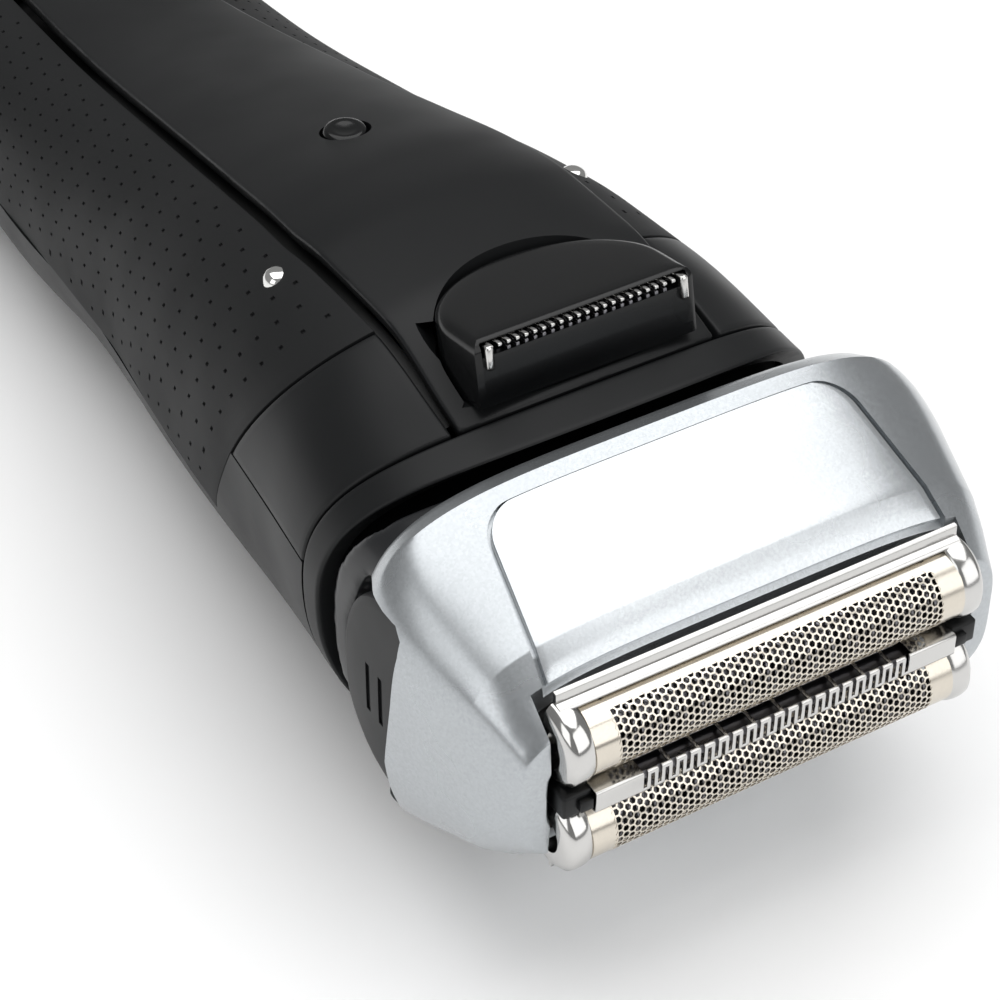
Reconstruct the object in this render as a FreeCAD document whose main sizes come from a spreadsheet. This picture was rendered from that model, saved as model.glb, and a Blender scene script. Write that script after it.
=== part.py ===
"""Electric foil shaver with a rocking head, modelled as separate pieces.

Pieces are drawn about the shaving head: X runs across the head, Y runs from the foils back
towards the handle's end, and Z points to the back of the shaver, where the long-hair trimmer is.
Every finished piece is then shifted by its Placement, so that the origin is on the surface that
the shaver lies on, under the middle of its box.
"""
import FreeCAD, Part
import math
import os

V = FreeCAD.Vector

doc = FreeCAD.newDocument("electric_shaver")

# ---------------------------------------------------------------- driving dimensions
SIZES = [
    ("half_length", 80.0),      # half of the whole length
    ("axis_height", 24.0),      # height of the drawing's Y axis above the surface it lies on
    ("pivot_y", 12.5),          # the axis that the head rocks about
    ("pivot_z", 0.5),
    ("drum_radius", 20.0),      # round back of the head
    ("drum_half", 27.0),
    ("mouth_radius", 21.7),     # hollow end of the neck, round the drum
    ("seam_radius", 25.0),      # joint line between collar and handle
    ("seam_gap", 0.2),
    ("skin_wall", 2.0),
    ("chassis_gap", 0.2),
    ("chassis_wall", 1.4),
    ("chassis_front", 34.3),
    ("chassis_back", 146.0),
    ("parting_z", 3.0),         # joint between the back and front halves at the shoulder
    ("grip_low", -9.0),
    ("cap_front", 142.0),
    ("panel_half", 13.5),       # half width of the back panel
    ("panel_gap", 0.7),
    ("arm_inner", 19.9),
    ("arm_outer", 23.1),
    ("arm_half", 4.0),
    ("slot_gap", 0.4),
    ("pin_radius", 2.0),
    ("pin_clearance", 0.05),
    ("frame_wall", 1.6),
    ("frame_clearance", 0.4),
    ("shave_z", 1.25),          # middle plane of the foils and the comb trimmer
    ("foil_pitch", 10.1),
    ("foil_radius", 3.4),
    ("foil_wall", 0.2),
    ("foil_half", 19.0),
    ("bezel_half", 21.5),
    ("unit_depth", 5.0),
    ("core_front", 6.3),
    ("core_back", 8.2),
    ("comb_half_height", 0.95),
    ("drive_travel", 1.0),
    ("trimmer_y", 31.4),
    ("trimmer_z", 18.9),
    ("trimmer_tilt", 12.0),
    ("trimmer_half", 11.4),
    ("trimmer_height", 6.2),
    ("release_y", 76.3),
    ("release_radius", 2.3),
    ("power_y", 57.0),
    ("power_radius", 6.5),
    ("board_top", -13.0),
    ("board_thick", 1.2),
    ("cell_radius", 7.0),
    ("cell_z", -4.5),
    ("socket_z", -10.75),
]

sheet = doc.addObject("Spreadsheet::Sheet", "Sizes")
for row, (alias, value) in enumerate(SIZES, start=1):
    sheet.set(f"A{row}", alias)
    sheet.set(f"B{row}", str(value))
    sheet.setAlias(f"B{row}", alias)
doc.recompute()


def size(alias):
    """The value of one driving dimension, in millimetres or degrees."""
    return float(sheet.get(alias))


def cell(alias):
    """The same dimension as an expression."""
    return f"Sizes.{alias}"


# ---------------------------------------------------------------- small building blocks
def bind(thing, expressions):
    """Binds properties of a document object to the sheet."""
    for prop, expression in expressions.items():
        thing.setExpression(prop, str(expression))
    return thing


def box(name, across, along, up):
    """A box between low and high limits, each a number or an expression."""
    block = doc.addObject("Part::Box", name)
    limits = zip(("Length", "Width", "Height"), "xyz", (across, along, up))
    for prop, axis, (low, high) in limits:
        bind(block, {prop: f"({high}) - ({low})", f".Placement.Base.{axis}": low})
    return block


TURNS = {
    "x": FreeCAD.Rotation(V(0, 1, 0), 90),
    "y": FreeCAD.Rotation(V(1, 0, 0), -90),
    "z": FreeCAD.Rotation(),
}


def rod(name, axis, radius, centre, low, high):
    """A cylinder along x, y or z, from low to high; centre gives its other two coordinates."""
    cylinder = doc.addObject("Part::Cylinder", name)
    cylinder.Placement = FreeCAD.Placement(V(), TURNS[axis])
    bind(cylinder, {"Radius": radius, "Height": f"({high}) - ({low})"})
    others = iter(centre)
    for letter in "xyz":
        place = low if letter == axis else next(others)
        bind(cylinder, {f".Placement.Base.{letter}": place})
    return cylinder


def cut(name, base, *tools):
    """Base with each tool taken away."""
    result = base
    for number, tool in enumerate(tools):
        last = number == len(tools) - 1
        step = doc.addObject("Part::Cut", name if last else f"{name}_step{number}")
        step.Base, step.Tool = result, tool
        result = step
    return result


def common(name, base, tool):
    """What two shapes share."""
    result = doc.addObject("Part::Common", name)
    result.Base, result.Tool = base, tool
    return result


def fuse(name, *shapes):
    """One solid from shapes that touch."""
    result = doc.addObject("Part::MultiFuse", name)
    result.Shapes = list(shapes)
    return result


def group(name, *shapes):
    """Separate solids in one sub-part."""
    result = doc.addObject("Part::Compound", name)
    result.Links = list(shapes)
    return result


PLANES = {"xy": ("XY_Plane", 1), "yz": ("YZ_Plane", 1), "xz": ("XZ_Plane", -1)}


def prism(name, plane, outline, low, high):
    """A padded sketch: outline is a closed polygon on the plane, low and high are its ends.

    The xz sketch plane faces -Y, so there the offset is counted the other way.
    """
    role, sense = PLANES[plane]
    body = doc.addObject("PartDesign::Body", name)
    face = next(f for f in body.Origin.OriginFeatures if f.Role == role)
    sketch = body.newObject("Sketcher::SketchObject", name + "_sketch")
    sketch.AttachmentSupport = [(face, "")]
    sketch.MapMode = "FlatFace"
    corners = [V(u, v, 0) for u, v in outline]
    for start, end in zip(corners, corners[1:] + corners[:1]):
        sketch.addGeometry(Part.LineSegment(start, end), False)
    start = f"{low}" if sense > 0 else f"-({high})"
    bind(sketch, {".AttachmentOffset.Base.z": start})
    pad = body.newObject("PartDesign::Pad", name + "_pad")
    pad.Profile = sketch
    bind(pad, {"Length": f"({high}) - ({low})"})
    return body


def arc_points(radius_u, radius_v, centre, start, end, steps):
    """Points on an elliptic arc, angles in degrees."""
    angles = [math.radians(start + (end - start) * i / steps) for i in range(steps + 1)]
    return [(centre[0] + radius_u * math.cos(a), centre[1] + radius_v * math.sin(a)) for a in angles]


def oval(station, half_width, half_height, middle, power):
    """A closed superellipse wire across the shaver at one station along Y."""
    count = 32
    points = []
    for i in range(count):
        angle = 2 * math.pi * i / count
        c, s = math.cos(angle), math.sin(angle)
        x = math.copysign(abs(c) ** (2 / power), c) * half_width
        z = math.copysign(abs(s) ** (2 / power), s) * half_height + middle
        points.append(V(x, station, z))
    curve = Part.BSplineCurve()
    curve.interpolate(points, PeriodicFlag=True)
    return Part.Wire([curve.toShape()])


def skin(name, sections, inset, ruled=False):
    """A solid loft through oval sections, drawn inset by the given amount."""
    wires = []
    for number, (station, half_width, top, bottom, power) in enumerate(sections):
        wire = doc.addObject("Part::Feature", f"{name}_oval{number}")
        middle, half_height = (top + bottom) / 2, (top - bottom) / 2
        wire.Shape = oval(station, half_width - inset, half_height - inset, middle, power)
        wires.append(wire)
    loft = doc.addObject("Part::Loft", name)
    loft.Sections, loft.Solid, loft.Ruled = wires, True, ruled
    return loft


PIECES = []


PRIMITIVES = ("Part::Box", "Part::Cylinder", "Part::Sphere")


def piece(label, shape):
    """Names a finished sub-part and shifts it from the drawing's frame to the shaver's own.

    A primitive already uses its Placement to stand in the drawing, so it is wrapped first.
    """
    if shape.TypeId in PRIMITIVES:
        shape = group(label + "_whole", shape)
    shape.Label = label
    bind(shape, {
        ".Placement.Base.y": "-Sizes.half_length",
        ".Placement.Base.z": "Sizes.axis_height",
    })
    PIECES.append(shape)
    return shape


# ---------------------------------------------------------------- handle skins
# station, half width, top, bottom, roundness
HANDLE = [
    (18, 27.2, 16.4, -16.4, 2.6),
    (28, 27.2, 17.4, -17.6, 2.6),
    (34, 26.8, 19.0, -18.8, 2.5),
    (46, 25.6, 21.4, -20.9, 2.5),
    (56, 24.8, 21.2, -22.3, 2.5),
    (66, 24.0, 19.6, -23.2, 2.5),
    (78, 22.8, 16.6, -23.5, 2.5),
    (92, 21.3, 13.0, -23.2, 2.5),
    (120, 20.8, 6.5, -23.3, 2.5),
    (148, 20.9, 2.4, -24.0, 2.5),
]
TAIL_LENGTH = 8.0
BASE_LENGTH = 12.0


def handle_skin(name, inset):
    """The handle's outer form, drawn in by inset, with its end drawn in as well."""
    station, half_width, top, bottom, power = HANDLE[-1]
    tail = (station + TAIL_LENGTH - inset, half_width - 1.1, top - 0.8, bottom + 0.8, power)
    base = (station + BASE_LENGTH - inset, half_width - 4.4, top - 3.4, bottom + 3.4, power)
    return skin(name, HANDLE + [tail, base], inset)


SKIN = size("skin_wall")
CHASSIS_OUT = SKIN + size("chassis_gap")
CHASSIS_IN = CHASSIS_OUT + size("chassis_wall")
handle_outer = handle_skin("handle_outer", 0)
handle_inner = handle_skin("handle_inner", SKIN)
pivot = (cell("pivot_y"), cell("pivot_z"))
mouth = rod("mouth", "x", cell("mouth_radius"), pivot, -40, 40)
seam = rod("seam", "x", cell("seam_radius"), pivot, -40, 40)
seam_wide = rod("seam_wide", "x", "Sizes.seam_radius + Sizes.seam_gap", pivot, -40, 40)

wall_inner = cut("handle_wall", handle_outer, handle_inner)
collar_zone = cut("collar_zone", seam, mouth, box("ahead_collar", (-40, 40), (-20, 22), (-40, 40)))
piece("neck_collar", common("neck_collar_ring", wall_inner, collar_zone))
shell = cut("shell", wall_inner, seam_wide, box("ahead_shell", (-40, 40), (0, 24), (-40, 40)))

PANEL_HALF = size("panel_half")
CAP = size("cap_front")


def panel_outline(spare):
    """Plan view of the back panel: straight sides that close in towards the end."""
    side = [
        (PANEL_HALF + spare, 22.0), (PANEL_HALF + spare, 62.0), (11.2 + spare, 90.0),
        (9.4 + spare, 118.0), (8.0 + spare, CAP + spare),
    ]
    return side + [(-x, y) for x, y in reversed(side)]


panel_zone = prism("panel_zone", "xy", panel_outline(0), 0, 40)
panel_wide = prism("panel_wide", "xy", panel_outline(size("panel_gap")), 0, 40)

SEAM_TOP = (41.4, 26.0)
SEAM_FOOT = (54.5, size("parting_z"))
LOW = size("grip_low")
shoulder_outline = [(20, 26), SEAM_TOP, SEAM_FOOT, (20, SEAM_FOOT[1])]
GRIP_FOOT = (61.0, LOW)
grip_outline = [SEAM_TOP, (CAP, 26), (CAP, LOW), GRIP_FOOT, SEAM_FOOT]
cover_outline = [(20, SEAM_FOOT[1]), SEAM_FOOT, GRIP_FOOT, (CAP, LOW), (CAP, -30), (20, -30)]

sides = cut("sides", shell, panel_wide)
shoulders = common("shoulders", sides, prism("shoulder_zone", "yz", shoulder_outline, -40, 40))
grips = common("grips", sides, prism("grip_zone", "yz", grip_outline, -40, 40))
for hand, limits, contact_x in (("left", (-40, 0), -16.2), ("right", (0, 40), 16.2)):
    half = box(f"half_{hand}", limits, (0, 170), (-40, 40))
    hole = rod(f"contact_hole_{hand}", "z", 1.5, (contact_x, 60.0), 5, 30)
    piece(f"shoulder_{hand}", common(f"shoulder_{hand}_wall", shoulders, half))
    piece(f"side_grip_{hand}", cut(f"grip_{hand}_wall", common(f"grip_{hand}_half", grips, half), hole))

# trimmer, drawn in its own sloping frame and turned into place
TILT = size("trimmer_tilt")
TRIM_HALF = size("trimmer_half")


def sloped(thing):
    """Turns a shape drawn in the trimmer's frame into place on the back panel."""
    rotation = FreeCAD.Rotation(V(1, 0, 0), -TILT)
    base = V(0, size("trimmer_y"), size("trimmer_z"))
    thing.Placement = FreeCAD.Placement(base, rotation).multiply(thing.Placement)
    return thing


def slope_box(name, across, along, up):
    """A box in the trimmer's frame: Part::Box bound to its size, placed by the slope."""
    block = doc.addObject("Part::Box", name)
    for prop, (low, high) in zip(("Length", "Width", "Height"), (across, along, up)):
        bind(block, {prop: f"({high}) - ({low})"})
    low_corner = V(*(float(limits[0]) for limits in (across, along, up)))
    block.Placement = FreeCAD.Placement(low_corner, FreeCAD.Rotation())
    return sloped(block)


def dome_outline(spare):
    """Plan view of the trimmer: straight front and sides, rounded back."""
    half = TRIM_HALF + spare
    back = arc_points(half, 9.0 + spare, (0, 5.0), 0, 180, 12)
    return [(-half, -spare), (half, -spare)] + back


dome = sloped(prism("dome_block", "xy", dome_outline(0), 0, cell("trimmer_height")))
dome_space = sloped(prism("dome_space", "xy", dome_outline(0.4), -0.4, 20))
dome_run = sloped(prism("dome_run", "xy", [(-11.8, -12), (11.8, -12), (11.8, 6), (-11.8, 6)], -0.4, 20))
keel = slope_box("keel", (-6, 6), (8, 15.5), (-2.0, 0.2))

cover = cut("trimmer_cover", fuse("trimmer_block", dome, keel),
            slope_box("blade_bed", (-10.6, 10.6), (-1, 2.6), (4.6, 7)))
piece("trimmer_housing", cover)
piece("trimmer_comb", slope_box("comb_plate", (-10.4, 10.4), (-0.3, 2.4), (5.4, 5.8)))
piece("trimmer_cutter", slope_box("cutter_plate", (-9.2, 9.2), (0.1, 2.2), (4.75, 5.25)))
rails = [slope_box(f"rail_{i}", x, (5.2, 17.6), (-3.2, -1.4)) for i, x in enumerate(((-8.2, -6.2), (6.2, 8.2)))]
bed = slope_box("bed_floor", (-8.2, 8.2), (5.2, 17.6), (-3.2, -2.3))
keel_run = slope_box("keel_run", (-6.3, 6.3), (0.6, 15.9), (-2.3, 0))
piece("trimmer_guide", fuse("trimmer_bed", bed, *rails))

release_hole = rod("release_hole", "z", "Sizes.release_radius + 0.25", (0, cell("release_y")), 5, 30)
panel_wall = common("panel_wall", shell, panel_zone)
piece("rear_panel", cut("rear_panel_wall", panel_wall, dome_space, dome_run, keel_run, release_hole))
stem = rod("release_stem", "z", cell("release_radius"), (0, cell("release_y")), 12.0, 17.6)
flange = rod("release_flange", "z", 3.1, (0, cell("release_y")), 11.4, 12.2)
crown = doc.addObject("Part::Sphere", "release_crown")
bind(crown, {"Radius": 3.0, ".Placement.Base.y": cell("release_y"), ".Placement.Base.z": 15.6})
crown_part = common("release_crown_part", crown, rod("release_trim", "z", cell("release_radius"),
                                                     (0, cell("release_y")), 17, 20))
piece("trimmer_release", fuse("release_whole", stem, flange, crown_part))

# ---------------------------------------------------------------- chassis and what it holds
chassis_whole = common("chassis_whole", handle_skin("chassis_outer", CHASSIS_OUT),
                       box("chassis_span", (-40, 40), (cell("chassis_front"), cell("chassis_back")), (-40, 40)))
hollow = common("hollow", handle_skin("chassis_inner", CHASSIS_IN),
                box("hollow_span", (-40, 40), ("Sizes.chassis_front + 2", "Sizes.chassis_back - 2"), (-40, 40)))
well_top = slope_box("well_top", (-12.2, 12.2), (-3, 19), (-0.45, 20))
well_floor = slope_box("well_floor", (-8.2, 8.2), (-3, 17.6), (-3.2, 0))
screw_places = [(-14.0, -10.7), (14.0, -10.7)]
power = (0, cell("power_y"))
lock_slot = box("lock_slot", (-2.2, 2.2), (38.5, 47), (-26, -14))
display_hole = box("display_hole", (-6.5, 6.5), (96, 112), (-30, -17))
release_well = rod("release_well", "z", "Sizes.release_radius + 0.25", (0, cell("release_y")), 8, 20)
screw_bores = [rod(f"screw_bore_{i}", "y", 0.9, place, 140, 150) for i, place in enumerate(screw_places)]
chassis = cut("chassis_cut", chassis_whole, hollow, well_top, well_floor, release_well, *screw_bores,
              rod("power_hole_in", "z", 7.0, power, -26, -15), lock_slot, display_hole,
              rod("contact_in_left", "z", 1.2, (-16.2, 60), 5, 30),
              rod("contact_in_right", "z", 1.2, (16.2, 60), 5, 30),
              box("cable_way", (-3, 3), (30, 40), (8, 11)))
piece("inner_chassis", chassis)

front_wall = common("front_wall", shell, prism("cover_zone", "yz", cover_outline, -40, 40))
piece("front_cover", cut("front_cover_wall", front_wall, panel_wide,
                         rod("power_hole", "z", "Sizes.power_radius + 0.3", power, -30, 0),
                         box("lock_hole", (-5.3, 5.3), (36.7, 48.3), (-26, -19.1)),
                         lock_slot, box("display_window", (-6.5, 6.5), (96, 112), (-30, 0))))
lens_box = box("lens_box", (-6.3, 6.3), (96.2, 111.8), (-30, -12))
piece("display_lens", common("display_lens_wall", shell, lens_box))
piece("display_module", box("display_block", (-6, 6), (97, 111), (-20.6, "Sizes.board_top - Sizes.board_thick")))
button = rod("power_disc", "z", cell("power_radius"), power, -22.5, -17.0)
piece("power_button", fuse("power_button_whole", button, rod("power_flange", "z", 7.8, power, -17.2, -16.7)))
slider_pad = box("slider_pad", (-5, 5), (37, 44), (-21.6, -19.5))
slider_stem = box("slider_stem", (-1.9, 1.9), (38.8, 42.2), (-19.6, -15.0))
slider_foot = box("slider_foot", (-4, 4), (38.8, 42.2), (-15.7, -14.9))
piece("head_lock_slider", fuse("lock_slider_whole", slider_pad, slider_stem, slider_foot))

under_board = "Sizes.board_top - Sizes.board_thick"
piece("circuit_board", box("board", (-14, 14), (50, 118), (under_board, cell("board_top"))))
piece("power_switch", rod("switch", "z", 3.0, power, -15.8, under_board))
piece("control_chip", box("chip", (-4, 4), (84, 92), (cell("board_top"), "Sizes.board_top + 1")))
cell_place = (0, cell("cell_z"))
piece("battery_cell", rod("cell_body", "y", cell("cell_radius"), cell_place, 62, 112))
tabs = [box(f"tab_{i}", (-3, 3), along, (cell("board_top"), -2)) for i, along in enumerate(((61.6, 62), (112, 112.4)))]
piece("battery_tabs", group("tab_pair", *tabs))
contacts = []
for hand, x in (("left", -16.2), ("right", 16.2)):
    tip = doc.addObject("Part::Sphere", f"contact_tip_{hand}")
    bind(tip, {"Radius": 1.2, ".Placement.Base.x": x, ".Placement.Base.y": 60, ".Placement.Base.z": 16.0})
    contacts.append(fuse(f"contact_{hand}", tip, rod(f"contact_pin_{hand}", "z", 1.2, (x, 60), 10.5, 16.0)))
piece("charging_contacts", group("contact_pair", *contacts))

# ---------------------------------------------------------------- base cap and socket
socket_space = box("socket_space", (-6, 6), (140, 170), ("Sizes.socket_z - 4.8", "Sizes.socket_z + 4.8"))
cap_zone = box("cap_zone", (-40, 40), (cell("cap_front"), 170), (-40, 40))
piece("base_cap", cut("base_cap_wall", common("cap_wall", shell, cap_zone), socket_space, panel_wide))
socket_block = box("socket_block", (-6, 6), (148, 160), ("Sizes.socket_z - 4.8", "Sizes.socket_z + 4.8"))
socket_hole = box("socket_hole", (-4.2, 4.2), (151, 161), ("Sizes.socket_z - 2.9", "Sizes.socket_z + 2.9"))
pins = [rod(f"socket_pin_{i}", "y", 0.9, (x, cell("socket_z")), 149, 156) for i, x in enumerate((-2, 2))]
piece("power_socket", cut("socket_body", socket_block, socket_hole,
                          *[rod(f"pin_hole_{i}", "y", 0.9, (x, cell("socket_z")), 147, 152)
                            for i, x in enumerate((-2, 2))]))
piece("socket_pins", group("pin_pair", *pins))
ring_out = common("seal_out", handle_skin("seal_outer", CHASSIS_OUT),
                  box("seal_span", (-40, 40), (146.2, 147.6), (-40, 40)))
piece("base_seal", cut("seal_ring", ring_out, handle_skin("seal_inner", CHASSIS_IN)))
screws = [fuse(f"screw_{i}", rod(f"screw_shank_{i}", "y", 0.9, (x, z), 141, 146.2),
               rod(f"screw_head_{i}", "y", 1.7, (x, z), 146.2, 147.4))
          for i, (x, z) in enumerate(screw_places)]
piece("base_screws", group("screw_pair", *screws))

# ---------------------------------------------------------------- head: yoke, pins and carrier
arms = []
for x in ((f"-{cell('arm_outer')}", f"-{cell('arm_inner')}"), (cell("arm_inner"), cell("arm_outer"))):
    name = f"arm_{len(arms)}"
    arm = box(name, x, (cell("pivot_y"), 33.6), ("Sizes.pivot_z - Sizes.arm_half", "Sizes.pivot_z + Sizes.arm_half"))
    arms += [arm, rod(name + "_end", "x", cell("arm_half"), pivot, *x)]
bridge = box("yoke_bridge", (f"-{cell('arm_outer')}", cell("arm_outer")), (33.2, cell("chassis_front")),
             ("Sizes.pivot_z - 6", "Sizes.pivot_z + 6"))
pivot_bore = rod("pivot_bore", "x", "Sizes.pin_radius + Sizes.pin_clearance", pivot, -30, 30)
piece("head_yoke", cut("yoke_body", fuse("yoke_whole", *arms, bridge), pivot_bore))
pivot_pins = [rod(f"pivot_pin_{i}", "x", cell("pin_radius"), pivot, *x) for i, x in enumerate(((-24.4, -18), (18, 24.4)))]
piece("pivot_pins", group("pivot_pin_pair", *pivot_pins))

# station, half width, top, bottom, roundness of the cassette's silver frame
CASSETTE = [
    (1.6, 25.0, 8.05, -5.55, 4.3),
    (3.2, 27.0, 10.05, -7.55, 4.3),
    (5.9, 28.6, 12.05, -9.55, 4.3),
    (8.4, 29.1, 13.85, -11.35, 4.3),
    (20.0, 29.2, 18.9, -16.4, 4.3),
    (21.5, 28.8, 19.5, -17.0, 4.3),
    (23.8, 27.9, 18.6, -16.1, 4.3),
]


def cassette_skin(name, inset):
    """The silver frame's outer form, drawn in by inset."""
    return skin(name, CASSETTE, inset, ruled=True)


FRAME_WALL = size("frame_wall")
PANEL_DEPTH = 1.05
frame_outer = cassette_skin("frame_outer", 0)
frame_inner = cassette_skin("frame_inner", FRAME_WALL)
frame_panel_floor = cassette_skin("frame_panel_floor", PANEL_DEPTH)
frame_panel_top = cassette_skin("frame_panel_top", 0.15)


def inset_outline(spare):
    """Plan view of the cassette's inset panels: a trapezium with its back corners rounded."""
    front, back, corner = 20.4 + spare, 18.2 + spare, 3.0
    rounded = arc_points(corner, corner, (back - corner, 20.0 + spare - corner), 0, 90, 5)
    side = [(front, 5.0)] + rounded
    return side + [(-x, y) for x, y in reversed(side)]


window = box("window", (-21.9, 21.9), (-1, 5.9), (-30, 30))
CUTOUT = [(26, 15.8), (18.5, 15.8), (15.2, 13.2), (15.5, 10.6), (17.4, 3.2), (18.2, -3.5),
          (16.4, -10.0), (18.5, -13.3), (26, -13.3)]
cutouts = [prism(f"cutout_{i}", "yz", CUTOUT, *x) for i, x in enumerate(((-40, -23.5), (23.5, 40)))]
recess_band = cut("recess_band", frame_outer, frame_panel_floor)
recess = common("recess", recess_band, prism("recess_zone", "xy", inset_outline(0.3), -30, 30))
piece("cassette_frame", cut("cassette_body", frame_outer, frame_inner, recess, window, *cutouts))
panel_band = cut("panel_band", frame_panel_top, frame_panel_floor, window)
for label, up in (("cassette_back_panel", (0, 30)), ("cassette_front_panel", (-30, 0))):
    piece(label, common(label + "_wall", panel_band, prism(label + "_zone", "xy", inset_outline(0), *up)))

# the dark carrier follows the frame's inside and is nowhere wider than the frame's back mouth, so
# the cassette lifts straight off it; behind it is a drum with rounded shoulders
MOUTH = CASSETTE[-1]
CARRIER = [(y, min(half, MOUTH[1]), min(top, MOUTH[2]), max(low, MOUTH[3]), bend)
           for y, half, top, low, bend in CASSETTE]
DRUM_END = (36.0, 28.4, 17.8, -16.6, 4.0)
drum = rod("drum", "x", cell("drum_radius"), pivot, f"-{cell('drum_half')}", cell("drum_half"))
carrier_skin = skin("carrier_skin", CARRIER + [DRUM_END], FRAME_WALL + size("frame_clearance"), ruled=True)
carrier_span = common("carrier_span", carrier_skin, box("carrier_limits", (-40, 40), (9, 40), (-40, 40)))
carrier_whole = common("carrier_whole", drum, carrier_span)
gap = size("slot_gap")
swing = ("Sizes.pivot_z - 12.5", "Sizes.pivot_z + 12.5")
slots = [box(f"arm_slot_{i}", x, (8, 40), swing) for i, x in enumerate((
    (f"-(Sizes.arm_outer + {gap})", f"-(Sizes.arm_inner - {gap})"),
    (f"Sizes.arm_inner - {gap}", f"Sizes.arm_outer + {gap}")))]
motor_bay = box("motor_bay", (-17, 17), (8, 28.3), (-10, 11))
BUTTON_OUTLINE = [(15.9, 9.3), (21.0, 11.8), (27.0, 8.6), (29.2, 2.0), (28.6, -6.0), (23.5, -11.0), (17.4, -9.2)]


def grown(outline, spare):
    """An outline pushed out from its middle."""
    middle = [sum(p[k] for p in outline) / len(outline) for k in (0, 1)]
    result = []
    for u, v in outline:
        reach = math.hypot(u - middle[0], v - middle[1])
        factor = (reach + spare) / reach
        result.append((middle[0] + (u - middle[0]) * factor, middle[1] + (v - middle[1]) * factor))
    return result


bays = [prism(f"button_bay_{i}", "yz", grown(BUTTON_OUTLINE, 0.35), *x)
        for i, x in enumerate(((-30, -24.5), (24.5, 30)))]
bores = rod("carrier_bore", "x", cell("pin_radius"), pivot, -24.4, 24.4)
piece("head_carrier", cut("carrier_body", carrier_whole,
                          *slots, motor_bay, *bays, bores))
for hand, x in (("left", (-26.8, -25.6)), ("right", (25.6, 26.8))):
    piece(f"release_button_{hand}", prism(f"button_{hand}", "yz", BUTTON_OUTLINE, *x))

# ---------------------------------------------------------------- motor and drive
FOIL_Z = [size("shave_z") + side * size("foil_pitch") / 2 for side in (1, -1)]
piece("motor_stator", box("stator", (-9, 9), (20.4, 28.1), (-8, 9.5)))
piece("motor_coil", box("coil", (-14, 14), (16.6, 20.2), (0.1, 1.7)))
cover_holes = [rod(f"drive_hole_{i}", "y", 2.6, (0, z), 8, 13) for i, z in enumerate(FOIL_Z)]
piece("drive_cover", cut("drive_cover_body", box("cover_plate", (-16.9, 16.9), (10.0, 11.2), (-9.9, 10.9)), *cover_holes))
seals = [cut(f"seal_{i}", rod(f"seal_disc_{i}", "y", 3.6, (0, z), 11.2, 12.0),
             rod(f"seal_bore_{i}", "y", 2.5, (0, z), 11, 13)) for i, z in enumerate(FOIL_Z)]
piece("drive_seals", group("seal_pair", *seals))
for label, z in zip(("drive_rear", "drive_front"), FOIL_Z):
    low, high = (z - 3.2, z + 2.4) if z > 0 else (z - 2.4, z + 3.2)
    block = box(label + "_block", (-7, 7), (12.8, 16.2), (low, high))
    piece(label, fuse(label + "_whole", block, rod(label + "_pin", "y", 1.3, (0, z), 7.2, 13)))

# ---------------------------------------------------------------- foils, cutters and comb trimmer
FOIL_Y = size("foil_radius")
DEPTH = size("unit_depth")
RIM_BACK = DEPTH - 0.4
WALL = size("foil_wall")
foil_tube = size("foil_radius") - WALL
for label, z in zip(("rear", "front"), FOIL_Z):
    outward = 1 if z > 0 else -1
    arch = fuse(f"arch_{label}", rod(f"arch_round_{label}", "x", cell("foil_radius"), (FOIL_Y, z), -19, 19),
                box(f"arch_legs_{label}", (-19, 19), (FOIL_Y, DEPTH), (z - FOIL_Y, z + FOIL_Y)))
    tunnel = fuse(f"tunnel_{label}", rod(f"tunnel_round_{label}", "x", foil_tube, (FOIL_Y, z), -20, 20),
                  box(f"tunnel_legs_{label}", (-20, 20), (FOIL_Y, 9), (z - foil_tube, z + foil_tube)))
    piece(f"foil_{label}", cut(f"foil_sheet_{label}", arch, tunnel))
    ends = []
    for number, x in enumerate(((-21.5, -19), (19, 21.5))):
        ends.append(rod(f"cap_{label}_{number}", "x", 3.6, (FOIL_Y + 0.3, z), *x))
        ends.append(box(f"cap_leg_{label}_{number}", x, (FOIL_Y, DEPTH), (z - 3.6, z + 3.6)))
    near, far = sorted((z + outward * FOIL_Y, z + outward * 4.5))
    rail = box(f"rail_out_{label}", (-21.5, 21.5), (3.4, DEPTH), (near, far))
    near, far = sorted((z - outward * FOIL_Y, z - outward * 3.75))
    inner_rail = box(f"rail_in_{label}", (-21.5, 21.5), (3.9, DEPTH), (near, far))
    solid = fuse(f"bezel_whole_{label}", *ends, rail, inner_rail)
    piece(f"foil_bezel_{label}", cut(f"bezel_{label}", solid, box(f"behind_{label}", (-30, 30), (RIM_BACK, 12), (-30, 30))))
    blades = common(f"blades_{label}", rod(f"blade_round_{label}", "x", foil_tube - 0.2, (FOIL_Y, z), -16.8, 16.8),
                    box(f"blade_limits_{label}", (-17, 17), (0, 4.9), (z - 4, z + 4)))
    base = box(f"cutter_base_{label}", (-14, 14), (FOIL_Y, 4.9), (z - 2.2, z + 2.2))
    post = rod(f"cutter_post_{label}", "y", 2.1, (0, z), 4.5, 8.6)
    socket = rod(f"cutter_socket_{label}", "y", 1.5, (0, z), 5.6, 10)
    piece(f"cutter_{label}", cut(f"cutter_body_{label}", fuse(f"cutter_whole_{label}", blades, base, post), socket))

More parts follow.
